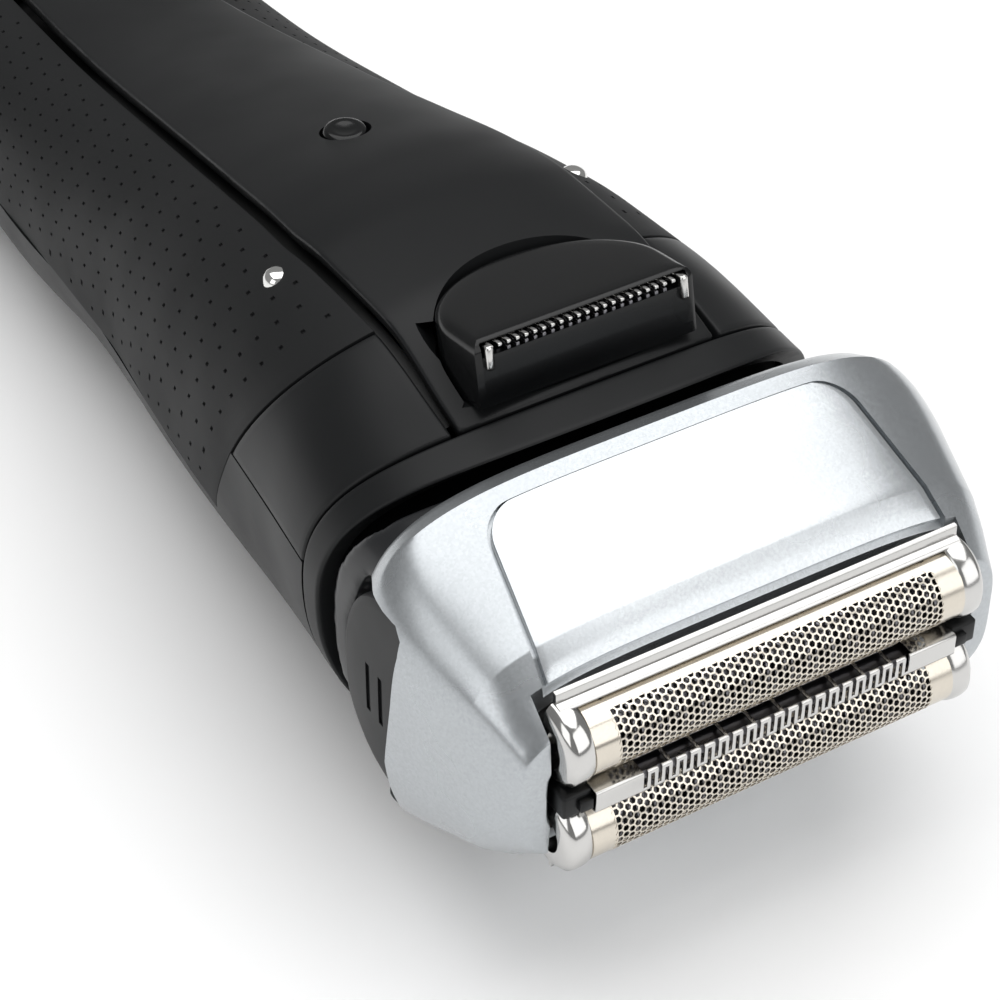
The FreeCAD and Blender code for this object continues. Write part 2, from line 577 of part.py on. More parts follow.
MID = size("shave_z")
HALF = size("comb_half_height")
channel = cut("channel", box("channel_block", (-18.8, 18.8), (0.5, 5.0), (MID - HALF, MID + HALF)),
              box("channel_space", (-20, 20), (0.8, 6), (MID - HALF + 0.25, MID + HALF - 0.25)))
piece("comb_channel", channel)
carriers = [box(f"carrier_{i}", x, (0.9, 5.0), (MID - HALF - 0.2, MID + HALF + 0.2))
            for i, x in enumerate(((-21.6, -18.8), (18.8, 21.6)))]
piece("comb_carriers", group("carrier_pair", *carriers))
piece("comb_cutter", box("comb_blade", (-16.5, 16.5), (1.1, 4.6), (MID - 0.5, MID + 0.5)))
core_block = common("core_block", box("core_plate", (-24, 24), (cell("core_front"), cell("core_back")), (-12, 14)),
                    cassette_skin("core_skin", FRAME_WALL + 0.05))
core_windows = [box(f"core_window_{i}", (-6, 6), (5, 9), (z - 2.9, z + 2.9)) for i, z in enumerate(FOIL_Z)]
piece("cassette_core", cut("core_body", core_block, *core_windows))
for label, z in zip(("rear", "front"), FOIL_Z):
    coils = [rod(f"foil_spring_{label}_{i}", "y", 0.9, (x, z), RIM_BACK, cell("core_front"))
             for i, x in enumerate((-20.2, 20.2))]
    piece(f"foil_springs_{label}", group(f"foil_spring_pair_{label}", *coils))

# ---------------------------------------------------------------- check and write
doc.recompute()
os.makedirs("parts", exist_ok=True)
faults = [o.Name for o in doc.Objects if "Invalid" in o.State or "Error" in o.State]
if faults:
    raise RuntimeError("these objects failed: " + ", ".join(faults))
for item in PIECES:
    shape = item.Shape
    if shape.isNull() or not shape.isValid() or not shape.Solids:
        raise RuntimeError(item.Label + " has no valid solid")
for item in PIECES:
    item.Shape.exportStep(os.path.join("parts", item.Label + ".step"))
    limits = item.Shape.optimalBoundingBox(False)
    print(f"{item.Label:24s} solids {len(item.Shape.Solids)}  volume {item.Shape.Volume:9.1f}  "
          f"x {limits.XMin:.1f} {limits.XMax:.1f}  y {limits.YMin:.1f} {limits.YMax:.1f}  "
          f"z {limits.ZMin:.1f} {limits.ZMax:.1f}")
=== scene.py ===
"""Electric foil shaver: the outer shells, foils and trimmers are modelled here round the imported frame.

Numbers are millimetres in the head's own frame: X across the head, Y back from the crest of the foils
and Z towards the back of the shaver, where the long-hair trimmer is. at() turns them into the scene.
"""
import math
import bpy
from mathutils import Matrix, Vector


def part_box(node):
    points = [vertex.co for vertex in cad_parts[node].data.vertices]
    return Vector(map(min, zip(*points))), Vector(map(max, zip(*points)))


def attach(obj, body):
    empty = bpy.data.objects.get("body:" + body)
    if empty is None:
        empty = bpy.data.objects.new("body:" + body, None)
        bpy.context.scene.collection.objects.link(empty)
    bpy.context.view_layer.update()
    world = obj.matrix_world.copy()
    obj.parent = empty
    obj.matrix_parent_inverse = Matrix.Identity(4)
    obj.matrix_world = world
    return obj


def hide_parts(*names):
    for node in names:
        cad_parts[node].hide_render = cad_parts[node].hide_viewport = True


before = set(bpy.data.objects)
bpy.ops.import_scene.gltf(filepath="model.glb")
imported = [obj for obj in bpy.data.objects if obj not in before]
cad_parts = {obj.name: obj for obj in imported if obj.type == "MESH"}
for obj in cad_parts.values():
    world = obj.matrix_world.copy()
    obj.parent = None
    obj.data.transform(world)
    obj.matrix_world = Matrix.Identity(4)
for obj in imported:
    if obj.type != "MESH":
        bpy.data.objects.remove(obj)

from types import SimpleNamespace

import bpy
from bpy.props import FloatProperty, FloatVectorProperty, IntProperty, PointerProperty
from mathutils import Matrix, Vector

bl_info = {
    "name": "Electric foil shaver",
    "version": (1, 0, 0),
    "blender": (4, 5, 0),
    "location": "3D View > Sidebar > Shaver",
    "description": "Models the shells, foils and trimmers of a foil shaver and gives them their finishes",
    "category": "Object",
}

MM = 0.001
FULL_TURN = 2 * math.pi
WELD = 2e-6  # corners nearer than this are one, in metres
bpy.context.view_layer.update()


def middle(node):
    """The middle of a node's box, in metres."""
    low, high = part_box(node)
    return (low + high) / 2


PIVOT_Y, PIVOT_Z = 12.5, 0.5
HEAD_ORIGIN = Vector((0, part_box("foil_rear")[0].y, middle("pivot_pins").z - PIVOT_Z * MM))


def at(x, y, z):
    """A point of the head's frame, in millimetres, as a place in the scene."""
    return Vector((x, y, z)) * MM + HEAD_ORIGIN


# ---------------------------------------------------------------- settings
def linear(code):
    """An sRGB hex value as linear RGBA."""
    channels = [int(code[i:i + 2], 16) / 255 for i in (1, 3, 5)]
    return [c / 12.92 if c <= 0.04045 else ((c + 0.055) / 1.055) ** 2.4 for c in channels] + [1.0]


def distance(name, description, millimetres, **limits):
    """A length that the panel shows."""
    return FloatProperty(name=name, description=description, default=millimetres * MM, unit="LENGTH",
                         subtype="DISTANCE", precision=5, **limits)


def tone(name, description, code):
    """A colour that the panel shows, given as an sRGB hex value."""
    return FloatVectorProperty(name=name, description=description, default=linear(code), size=4,
                               subtype="COLOR", min=0, max=1)


class ShaverSizes(bpy.types.PropertyGroup):
    """Sizes that a user would change."""

    panel_proud: distance("Back panel proud", "How far the back panel stands above the grips", 1.2,
                          min=0, max=2 * MM)
    shell_wall: distance("Shell wall", "Thickness of the outer shells", 2.0)
    edge: distance("Shell edge", "Radius on the edges of the shells", 0.3)
    hole_pitch: distance("Hole pitch", "Distance between the foils' holes", 0.70)
    hole_size: distance("Hole size", "Width of each hole in the foils", 0.53)
    tooth_pitch: distance("Tooth pitch", "Distance between the long-hair teeth", 0.9)
    comb_pitch: distance("Comb pitch", "Distance between slots of the middle comb", 0.72)
    around: IntProperty(name="Faces around", description="Faces round the silver frame", default=200, min=48)


class ShaverColours(bpy.types.PropertyGroup):
    """Main colours."""

    silver: tone("Silver", "Metallic paint of the head", "#B0B4B7")
    panel: tone("Panel", "Metallic paint of the inset panels", "#C6CACD")
    steel: tone("Steel", "Polished steel of rims and blades", "#C9C8C6")
    nickel: tone("Nickel", "Nickel of the foils", "#D3CCC0")
    dark: tone("Dark plastic", "Satin plastic of collar and shell", "#161718")
    rubber: tone("Rubber", "Soft rubber of the grips", "#141516")
    black: tone("Black plastic", "Glossy black plastic", "#0A0B0C")


def sizes_of(context):
    """The panel's sizes, with their lengths in millimetres."""
    group = context.scene.shaver_sizes
    lengths = {name: getattr(group, name) / MM for name in ShaverSizes.__annotations__ if name != "around"}
    return SimpleNamespace(around=group.around, **lengths)


# ---------------------------------------------------------------- modelling helpers
OUTWARDS = (bpy.ops.mesh.normals_make_consistent, {"inside": False})
FLIP = (bpy.ops.mesh.flip_normals, {})
MERGE = (bpy.ops.mesh.remove_doubles, {"threshold": WELD})
# fills the open ends of a tube
CLOSE = ((bpy.ops.mesh.select_all, {"action": "DESELECT"}), (bpy.ops.mesh.select_mode, {"type": "EDGE"}),
         (bpy.ops.mesh.select_non_manifold, {}), (bpy.ops.mesh.edge_face_add, {}))


def deselect():
    """Selects nothing, because an operator acts on all that is selected."""
    bpy.ops.object.select_all(action="DESELECT")


def linked(name, data):
    """A new object in the scene for a mesh, a light or a camera."""
    obj = bpy.data.objects.new(name, data)
    bpy.context.scene.collection.objects.link(obj)
    return obj


def only(obj):
    """Selects one object and nothing else."""
    if bpy.context.object and bpy.context.object.mode != "OBJECT":
        bpy.ops.object.mode_set(mode="OBJECT")
    deselect()
    obj.select_set(True)
    bpy.context.view_layer.objects.active = obj
    return obj


def apply_modifier(obj, kind, **settings):
    """Adds a modifier and applies it."""
    only(obj)
    modifier = obj.modifiers.new(kind, kind)
    for name, value in settings.items():
        setattr(modifier, name, value)
    bpy.ops.object.modifier_apply(modifier=modifier.name)
    return obj


def sheet(name, across, along, place):
    """A grid of quads laid over a shape: place(u, v) gives each corner, with u and v from 0 to 1."""
    deselect()
    bpy.ops.mesh.primitive_grid_add(x_subdivisions=across, y_subdivisions=along, size=2)
    obj = bpy.context.object
    obj.name = name
    for corner in obj.data.vertices:
        corner.co = place((corner.co.x + 1) / 2, (corner.co.y + 1) / 2)
    return obj


def edit(obj, *steps):
    """Runs edit-mode steps on the whole mesh; each is an operator and its settings."""
    only(obj)
    bpy.ops.object.mode_set(mode="EDIT")
    bpy.ops.mesh.select_all(action="SELECT")
    for operator, settings in steps:
        operator(**settings)
    bpy.ops.object.mode_set(mode="OBJECT")
    return obj


def weld(obj):
    """Joins corners that meet and turns every face outwards."""
    return edit(obj, MERGE, OUTWARDS)


def pick_faces(obj, test):
    """Selects the faces whose middle and normal pass a test, and stays in edit mode."""
    only(obj)
    bpy.ops.object.mode_set(mode="EDIT")
    bpy.ops.mesh.select_mode(type="FACE")
    bpy.ops.mesh.select_all(action="DESELECT")
    bpy.ops.object.mode_set(mode="OBJECT")
    for face in obj.data.polygons:
        face.select = bool(test(face))
    bpy.ops.object.mode_set(mode="EDIT")


def rounded(obj, edge, segments=2, angle=30):
    """Rounds the edges that turn by more than an angle."""
    return apply_modifier(obj, "BEVEL", width=edge * MM, segments=segments, limit_method="ANGLE",
                          angle_limit=math.radians(angle))


def shell(obj, wall, edge, segments=3):
    """Gives a draped sheet its wall, inwards, and rounds its edges."""
    apply_modifier(obj, "SOLIDIFY", thickness=wall * MM, offset=-1.0, use_even_offset=True)
    return smooth(rounded(obj, edge, segments, 40))


def smooth(obj, angle=32):
    """Shades smoothly across edges that turn by less than an angle."""
    only(obj)
    bpy.ops.object.shade_smooth_by_angle(angle=math.radians(angle))
    return obj


def cut(obj, tool):
    """Cuts obj with a tool, which is then thrown away."""
    apply_modifier(obj, "BOOLEAN", object=tool, operation="DIFFERENCE", solver="EXACT")
    bpy.data.objects.remove(tool)
    return obj


def block(name, low, high, edge=0.0, segments=2, place=at):
    """A box between two corners given in millimetres, with its edges rounded."""
    deselect()
    bpy.ops.mesh.primitive_cube_add(size=1)
    obj = bpy.context.object
    obj.name = name
    for corner in obj.data.vertices:
        corner.co = place(*((a + b) / 2 + c * (b - a) for a, b, c in zip(low, high, corner.co)))
    return rounded(obj, edge, segments) if edge else obj


def joined(name, parts):
    """Joins pieces into one mesh."""
    deselect()
    for part in parts:
        part.select_set(True)
    bpy.context.view_layer.objects.active = parts[0]
    bpy.ops.object.join()
    parts[0].name = name
    return parts[0]


def rings(name, rows, count):
    """A closed tube through rows of points; each row is a function of the turn from 0 to 1."""
    obj = sheet(name, count, len(rows) - 1, lambda u, v: rows[round(v * (len(rows) - 1))](u % 1.0))
    edit(obj, MERGE)
    edit(obj, *CLOSE)
    return edit(obj, OUTWARDS)


def lathe(name, profile, place, count=48):
    """A turned piece: profile is (height, radius) pairs along its axis."""
    rows = [lambda u, h=h, r=r: place(r * math.cos(FULL_TURN * u), r * math.sin(FULL_TURN * u), h)
            for h, r in profile]
    return rings(name, rows, count)


def dress(obj, body, slot, node):
    """Puts a finished piece on its body, with its slot's finish, in place of its CAD node."""
    obj.data.materials.clear()
    obj.data.materials.append(FINISHES[slot])
    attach(obj, body)
    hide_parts(node)
    return obj


def from_node(name, node):
    """A merged copy of a CAD node's mesh, smoothed."""
    obj = weld(linked(name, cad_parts[node].data.copy()))
    edit(obj, (bpy.ops.mesh.customdata_custom_splitnormals_clear, {}),
         (bpy.ops.mesh.dissolve_limited, {"angle_limit": math.radians(0.5)}))
    return smooth(obj)


# ---------------------------------------------------------------- shapes that several pieces share
def spline(table, y):
    """Smooth values between the rows of a table, whose first column is the station along Y."""
    if y <= table[0][0]:
        return list(table[0][1:])
    if y >= table[-1][0]:
        return list(table[-1][1:])
    k = max(i for i in range(len(table) - 1) if table[i][0] <= y)
    span = table[k + 1][0] - table[k][0]
    t = (y - table[k][0]) / span

    def slope(i, column):
        if i == 0 or i == len(table) - 1:
            a, b = (0, 1) if i == 0 else (-2, -1)
            return (table[b][column] - table[a][column]) / (table[b][0] - table[a][0])
        before = (table[i][column] - table[i - 1][column]) / (table[i][0] - table[i - 1][0])
        after = (table[i + 1][column] - table[i][column]) / (table[i + 1][0] - table[i][0])
        return 0 if before * after <= 0 else 2 * before * after / (before + after)

    # each column follows a cubic that keeps its rows' slopes and never overshoots them
    values = []
    for column in range(1, len(table[0])):
        a, b = table[k][column], table[k + 1][column]
        m0, m1 = slope(k, column) * span, slope(k + 1, column) * span
        values.append((2 * t ** 3 - 3 * t ** 2 + 1) * a + (t ** 3 - 2 * t ** 2 + t) * m0
                      + (3 * t ** 2 - 2 * t ** 3) * b + (t ** 3 - t ** 2) * m1)
    return values


# station, half width, top, bottom, roundness
HANDLE = [
    (18, 27.2, 16.4, -16.4, 2.6), (28, 27.2, 17.4, -17.6, 2.6), (34, 26.8, 19.0, -18.8, 2.5),
    (46, 25.6, 21.4, -20.9, 2.5), (56, 24.8, 21.2, -22.3, 2.5), (66, 24.0, 19.6, -23.2, 2.5),
    (78, 22.8, 16.6, -23.5, 2.5), (92, 21.3, 13.0, -23.2, 2.5), (120, 20.8, 6.5, -23.3, 2.5),
    (148, 20.9, 2.4, -24.0, 2.5),
]
FRAME_SECTIONS = [
    (2.6, 24.6, 9.6, -7.1, 4.0), (5.9, 25.9, 12.05, -9.55, 4.6), (8.4, 26.8, 13.85, -11.35, 4.6),
    (17.0, 29.0, 17.6, -15.1, 4.4), (20.0, 29.2, 18.9, -16.4, 4.3), (21.5, 28.8, 19.5, -17.0, 4.3),
    (23.8, 27.9, 18.6, -16.1, 4.3),
]
# (station, height) along the joint line between shoulder and grip
SEAM_TOP, SEAM_FOOT, GRIP_FOOT = (41.4, 26.0), (54.5, 3.0), (61.0, -9.0)
CAP_Y = 142.0
CATCH_Y = 76.3  # stations of the trimmer's catch and of the charging contacts
CONTACT_Y = 60
PANEL_GAP = 0.7
# station, half width of the back panel
PANEL_HALF = [(22.0, 13.5), (62.0, 13.5), (90.0, 11.2), (118.0, 9.4), (142.0, 8.0)]


def section(table, y):
    """The section at one station: straight runs for the silver frame, so its crease stays crisp."""
    if table is not FRAME_SECTIONS or y <= table[0][0] or y >= table[-1][0]:
        return spline(table, y)
    for low, high in zip(table, table[1:]):
        if y <= high[0]:
            share = (y - low[0]) / (high[0] - low[0])
            return [a + (b - a) * share for a, b in zip(low[1:], high[1:])]


def oval(table, y, turn, inset=0.0):
    """A point of the superellipse at one station, as (x, z); turn is in radians from +X."""
    half_width, top, bottom, power = section(table, y)
    c, s = math.cos(turn), math.sin(turn)
    x = math.copysign(abs(c) ** (2 / power), c) * (half_width - inset)
    z = math.copysign(abs(s) ** (2 / power), s) * ((top - bottom) / 2 - inset) + (top + bottom) / 2
    return x, z


def top_height(table, x, y, inset=0.0, side=1):
    """Height of the top surface, or of the under surface with side -1, above one place."""
    half_width, top, bottom, power = section(table, y)
    share = min(abs(x) / (half_width - inset), 1.0)
    rise = ((top - bottom) / 2 - inset) * (1 - share ** power) ** (1 / power)
    return (top + bottom) / 2 + side * rise


def turn_at_x(y, x):
    """The turn where the handle's section reaches x, on its upper right."""
    half_width, _, _, power = spline(HANDLE, y)
    return math.acos(min(1, (x / half_width) ** (power / 2)))


def turn_at_z(y, z):
    """The turn where the handle's section reaches z, on its right."""
    _, top, bottom, power = spline(HANDLE, y)
    rise = (z - (top + bottom) / 2) / ((top - bottom) / 2)
    return math.asin(math.copysign(abs(rise) ** (power / 2), rise))


def solve(function, low, high):
    """Where a rising function crosses zero."""
    for _ in range(40):
        half = (low + high) / 2
        if function(half) > 0:
            high = half
        else:
            low = half
    return (low + high) / 2


def pivot_reach(y, z):
    """Distance from the head's pivot."""
    return math.hypot(y - PIVOT_Y, z - PIVOT_Z)


def line_y(z, start, end):
    """Station of a slanted joint line at height z."""
    share = (z - start[1]) / (end[1] - start[1])
    return start[0] + (end[0] - start[0]) * share


def grip_front(z, gap=0.0):
    """Station where the grip starts, at height z."""
    if z >= SEAM_FOOT[1]:
        return line_y(z, SEAM_TOP, SEAM_FOOT) + gap
    return line_y(z, SEAM_FOOT, GRIP_FOOT) + gap


def panel_half(y):
    """Half width of the back panel at one station."""
    for (a, wide), (b, narrow) in zip(PANEL_HALF, PANEL_HALF[1:]):
        if y <= b:
            return wide + (narrow - wide) * max(0, (y - a) / (b - a))
    return PANEL_HALF[-1][1]


def smoothstep(low, high, value):
    """Rises smoothly from 0 at low to 1 at high."""
    t = min(1, max(0, (value - low) / (high - low)))
    return t * t * (3 - 2 * t)


# the trimmer's own sloping frame, its half width and its height
TRIM_BASE = (31.4, 18.9)
TRIM_TILT = math.radians(12)
TRIM_HALF = 11.4
TRIM_TOP = 6.2


def trim_at(x, y, z):
    """A point of the trimmer's frame as a place in the scene."""
    c, s = math.cos(TRIM_TILT), math.sin(TRIM_TILT)
    return at(x, TRIM_BASE[0] + y * c + z * s, TRIM_BASE[1] - y * s + z * c)


# ---------------------------------------------------------------- materials
def add(tree, kind, props=None, sockets=None, links=None):
    """Adds one node with its settings, socket values and incoming links."""
    made = tree.nodes.new(kind)
    for name, value in (props or {}).items():
        setattr(made, name, value)
    for name, value in (sockets or {}).items():
        made.inputs[name].default_value = value
    for name, source in (links or {}).items():
        tree.links.new(source, made.inputs[name])
    return made


BROAD = 14  # size of the slow changes in gloss


def surface(name, colour, metallic=0.0, roughness=0.4, grain=0.3, spread=0.05, rough_spread=0.06, bump=0.004,
            stretch=(1, 1, 1), flakes=0.0, coat=0.0, coat_roughness=0.1, ior=1.5, shine=0.5):
    """A principled finish with grain of a real size in millimetres, in a hex or a linear colour.

    spread changes the colour, rough_spread the gloss and bump the height, in millimetres. flakes is
    the width in millimetres of the bright grains in a metallic paint, and shine the specular level.
    """
    material = bpy.data.materials.new(name)
    material.use_nodes = True
    tree = material.node_tree
    tree.nodes.clear()
    place = add(tree, "ShaderNodeTexCoord")
    turned = add(tree, "ShaderNodeMapping", sockets={"Scale": stretch},
                 links={"Vector": place.outputs["Object"]})
    fine = add(tree, "ShaderNodeTexNoise", sockets={"Scale": 1 / (grain * MM), "Detail": 3.0},
               links={"Vector": turned.outputs["Vector"]})
    broad = add(tree, "ShaderNodeTexNoise", sockets={"Scale": 1 / (BROAD * MM), "Detail": 2.0},
                links={"Vector": turned.outputs["Vector"]})
    base = linear(colour) if isinstance(colour, str) else colour
    dark, light = [[c * (1 + k * spread) for c in base[:3]] + [1] for k in (-1, 1)]
    tint = add(tree, "ShaderNodeMix", {"data_type": "RGBA"}, {"A": dark, "B": light},
               {"Factor": fine.outputs["Fac"]})
    colour_out = tint.outputs["Result"]
    gloss = add(tree, "ShaderNodeMapRange",
                sockets={"From Min": 0.3, "From Max": 0.7, "To Min": roughness - rough_spread,
                         "To Max": roughness + rough_spread},
                links={"Value": broad.outputs["Fac"]})
    if flakes:
        cells = add(tree, "ShaderNodeTexVoronoi", sockets={"Scale": 1 / (flakes * MM)},
                    links={"Vector": place.outputs["Object"]})
        grey = add(tree, "ShaderNodeMapRange", sockets={"To Min": 0.93, "To Max": 1.07},
                   links={"Value": cells.outputs["Color"]})
        tint = add(tree, "ShaderNodeVectorMath", {"operation": "MULTIPLY"}, None,
                   {0: colour_out, 1: grey.outputs["Result"]})
        colour_out = tint.outputs["Vector"]
    relief = add(tree, "ShaderNodeBump", sockets={"Strength": 1.0, "Distance": bump * MM},
                 links={"Height": fine.outputs["Fac"]})
    shader = add(tree, "ShaderNodeBsdfPrincipled",
                 sockets={"Metallic": metallic, "Coat Weight": coat, "Coat Roughness": coat_roughness},
                 links={"Base Color": colour_out, "Roughness": gloss.outputs["Result"],
                        "Normal": relief.outputs["Normal"]})
    if metallic < 0.5:  # a metal keeps the default IOR
        shader.inputs["IOR"].default_value = ior
        shader.inputs["Specular IOR Level"].default_value = shine
    add(tree, "ShaderNodeOutputMaterial", links={"Surface": shader.outputs["BSDF"]})
    return material


FINISHES = {}


def make_finishes(colours):
    """All the shaver's finishes, one for each slot of the record."""
    FINISHES.update({
        # metallic paint on moulded ABS: bright grains under a clear coat, drawn coarser than real ones
        "satin_silver": surface("metallic_paint_silver", colours.silver, 0.85, 0.27, grain=0.25, spread=0.04,
                                bump=0.0015, flakes=0.22, coat=0.3, coat_roughness=0.12),
        # the same paint, a shade lighter
        "silver_panel": surface("metallic_paint_panel", colours.panel, 0.85, 0.27, grain=0.25, spread=0.03,
                                bump=0.0012, flakes=0.20, coat=0.35, coat_roughness=0.1),
        # polished stainless steel: nearly a mirror
        "bright_bezel": surface("polished_steel_rim", colours.steel, 1.0, 0.17, grain=0.4, spread=0.03,
                                rough_spread=0.04, bump=0.0006),
        # electroformed nickel foil: satin with a warm tint
        "foil_nickel": surface("electroformed_nickel", colours.nickel, 1.0, 0.22, grain=0.3, spread=0.06,
                               rough_spread=0.05, bump=0.0008),
        # ground steel comb: fine lines across it
        "comb_steel": surface("ground_steel_comb", colours.steel, 1.0, 0.18, grain=0.2, spread=0.05,
                              stretch=(1, 8, 8), bump=0.0008),
        # the same grinding; the steel is drawn darker as painted shade, for blades that sit in shadow
        "cutter_steel": surface("ground_steel_cutter", "#77767A", 1.0, 0.3, grain=0.2, spread=0.04,
                                stretch=(1, 8, 8), bump=0.002),
        # black moulded ABS: a fine grain that dulls it
        "black_plastic": surface("moulded_abs_black", "#0B0C0D", 0, 0.38, grain=0.25, bump=0.003, shine=0.25),
        # dark satin ABS: soft wide highlights
        "dark_satin": surface("satin_abs_dark", colours.dark, 0, 0.42, grain=0.22, bump=0.003, spread=0.06,
                              shine=0.2),
        # charcoal satin ABS: a little lighter and glossier than the shells
        "carrier_grey": surface("satin_abs_carrier", "#1D1E20", 0, 0.3, grain=0.25, bump=0.002, coat=0.1,
                                shine=0.3),
        # thermoplastic rubber: matt with a tight grain
        "grip_rubber": surface("moulded_rubber_grip", colours.rubber, 0, 0.62, grain=0.18, bump=0.008,
                               spread=0.08, shine=0.25),
        # polished black ABS: small sharp highlights
        "gloss_black": surface("polished_abs_black", colours.black, 0, 0.22, grain=0.4, bump=0.0006, coat=0.15,
                               coat_roughness=0.06, shine=0.25),
        # chromed brass: a bright mirror
        "contact_chrome": surface("chromed_brass_contact", "#E6E6E4", 1.0, 0.1, grain=0.4, bump=0.0004),
        # moulded silicone: dull and even
        "seal_rubber": surface("silicone_seal", "#1B1B1C", 0, 0.7, grain=0.2, bump=0.004),
        # solder mask over copper: green patches under a clear coat
        "board_green": surface("solder_mask_green", "#17502C", 0, 0.35, grain=0.6, spread=0.25, coat=0.4),
        # shrunk PVC film: glossy, with slow waves
        "cell_wrap": surface("shrink_wrap_blue", "#3C7BB5", 0, 0.3, grain=1.5, spread=0.08, coat=0.3),
        # rolled nickel strip: lines along it
        "nickel_strip": surface("nickel_strip", "#C9C4B6", 1.0, 0.25, grain=0.3, stretch=(8, 1, 1)),
        # die-cast zinc, drawn darker as painted shade for the gap it shows through: dark grey and slightly rough
        "yoke_alloy": surface("die_cast_zinc_painted_shade", "#3C3D3E", 1.0, 0.5, grain=0.35, bump=0.01),
        # enamelled copper wire: fine turns under a clear coat
        "copper_coil": surface("enamelled_copper", "#B06A3B", 1.0, 0.25, grain=0.25, stretch=(1, 6, 6),
                               coat=0.4),
        # smoked acrylic: nearly black and flat
        "lens_smoke": surface("smoked_acrylic", "#0B0C0D", 0, 0.1, grain=2.0, spread=0.02, bump=0.0002,
                              ior=1.49),
    })


# ---------------------------------------------------------------- silver head
# station, half width of the inset panels, then their corner radius and back edge
GROOVE_HALF = [(5.0, 20.4), (17.0, 18.64)]
CORNER = 3.0
GROOVE_BACK = 20.0
CREASE = (8.3, 8.5)  # the frame's crease is between these stations
WINDOW = (21.9, 5.9)  # half width and depth of the opening for the foils


def groove_half(y, spare):
    """Half width of an inset panel at one station: straight sides, rounded back corners."""
    (a, wide), (b, narrow) = GROOVE_HALF
    slope_half = wide + (narrow - wide) * (y - a) / (b - a) + spare
    start = GROOVE_BACK + spare - CORNER
    if y <= start:
        return slope_half
    depth = min(1.0, (y - start) / CORNER)
    return slope_half - CORNER + CORNER * math.sqrt(max(0, 1 - depth * depth))


def inset_sheet(name, side, inset, spare, front):
    """The inset panel's outline, laid on the frame's upper or under surface."""
    wide, deep = 56, 30
    back = GROOVE_BACK + spare
    fold, start = CREASE
    stations = [front, (front + fold) / 2, fold, start]
    # the faces shorten towards the rounded corners
    stations += [start + (back - start) * (1 - (1 - k / (deep - 3)) ** 1.6) for k in range(1, deep - 2)]

    def place(u, v):
        y = stations[round(v * deep)]
        x = (2 * u - 1) * groove_half(y, spare)
        return at(x, y, top_height(FRAME_SECTIONS, x, y, inset, side))

    obj = sheet(name, wide, deep, place)
    return edit(obj, FLIP) if side < 0 else obj


# stations and insets round the frame's wall, from its front lip over the outside and back inside
WALL_PATH = [
    (3.2, 2.75), (2.75, 2.62), (2.5, 2.3), (2.5, 2.1), (2.72, 0.16), (2.8, 0.04), (2.95, 0), (3.6, 0), (4.6, 0),
    (5.9, 0), (7.2, 0), (8.3, 0), (8.5, 0), (10, 0), (12, 0), (14, 0), (16, 0), (18, 0), (19.4, 0), (20.6, 0),
    (21.2, 0), (21.5, 0.02), (21.9, 0), (22.8, 0), (23.4, 0), (23.72, 0.15), (23.8, 0.45), (23.8, 1.4),
    (23.0, 1.6), (18.0, 1.6), (12.0, 1.6), (8.4, 1.7), (5.9, 2.2), (4.0, 2.9),
]
# (y, z) outline of the opening that each release key shows through
CUTOUT = [(27, 12.9), (20.6, 12.5), (17.6, 12.0), (16.6, 11.0), (16.5, 9.4), (17.1, 3.5), (18.1, -4.0),
          (17.5, -8.6), (17.8, -10.8), (19.4, -12.2), (27, -12.5)]


def rounded_loop(points, steps):
    """A smooth closed curve through points, as many points per span as steps."""
    loop = []
    n = len(points)
    for i in range(n):
        p0, p1, p2, p3 = (points[(i + k) % n] for k in (-1, 0, 1, 2))
        for s in range(steps):
            t = s / steps
            loop.append(tuple(0.5 * (2 * b + (c - a) * t + (2 * a - 5 * b + 4 * c - d) * t * t
                                     + (3 * b - a - 3 * c + d) * t ** 3)
                              for a, b, c, d in zip(p0, p1, p2, p3)))
    return loop


def side_prism(name, outline, low, high):
    """A prism along X with a closed outline of (y, z) points."""
    n = len(outline)
    rows = [lambda u, x=x: at(x, *outline[round(u * n) % n]) for x in (low, high)]
    return rings(name, rows, n)


def build_frame(sizes):
    """The silver frame: one painted shell with a window for the foils and a cutout for each key."""
    count = len(WALL_PATH)

    def place(u, v):
        y, inset = WALL_PATH[round(v * count) % count]
        x, z = oval(FRAME_SECTIONS, y, FULL_TURN * u, inset)
        return at(x, y, z)

    obj = weld(sheet("silver_frame", sizes.around, count, place))
    half, back = WINDOW
    cut(obj, block("window", (-half, -2, -30), (half, back, 30)))
    for low, high in ((-40, -23.5), (23.5, 40)):
        cut(obj, side_prism("cutout", CUTOUT, low, high))
    for side in (1, -1):
        tool = inset_sheet("recess", side, 1.05, 0.4, 4.0)
        apply_modifier(tool, "SOLIDIFY", thickness=3 * MM, offset=1.0)
        cut(obj, tool)
    smooth(obj, 28)
    # shading follows the large faces, so the flat cheeks stay flat
    apply_modifier(obj, "WEIGHTED_NORMAL", keep_sharp=True)
    return dress(obj, "cassette", "satin_silver", "cassette_frame")


def build_inset_panels():
    """The two inset panels, each with a creased lower band."""
    for side, name, node in ((1, "inset_panel_back", "cassette_back_panel"),
                             (-1, "inset_panel_front", "cassette_front_panel")):
        obj = inset_sheet(name, side, 0.0, 0.0, WINDOW[1] + 0.02)
        shell(obj, 0.9, 0.14, 2)
        dress(obj, "cassette", "silver_panel", node)


# ---------------------------------------------------------------- foils
FOIL_CREST = 3.4  # station of the crest's axis
FOIL_RADIUS = 3.4
FOIL_Z = (6.3, -3.8)
FOIL_HALF = 19.0
FIELD = (16.9, 4.3)  # half width of the holes' field, and its reach round the crest
LEG = 1.1
WALL = 0.12


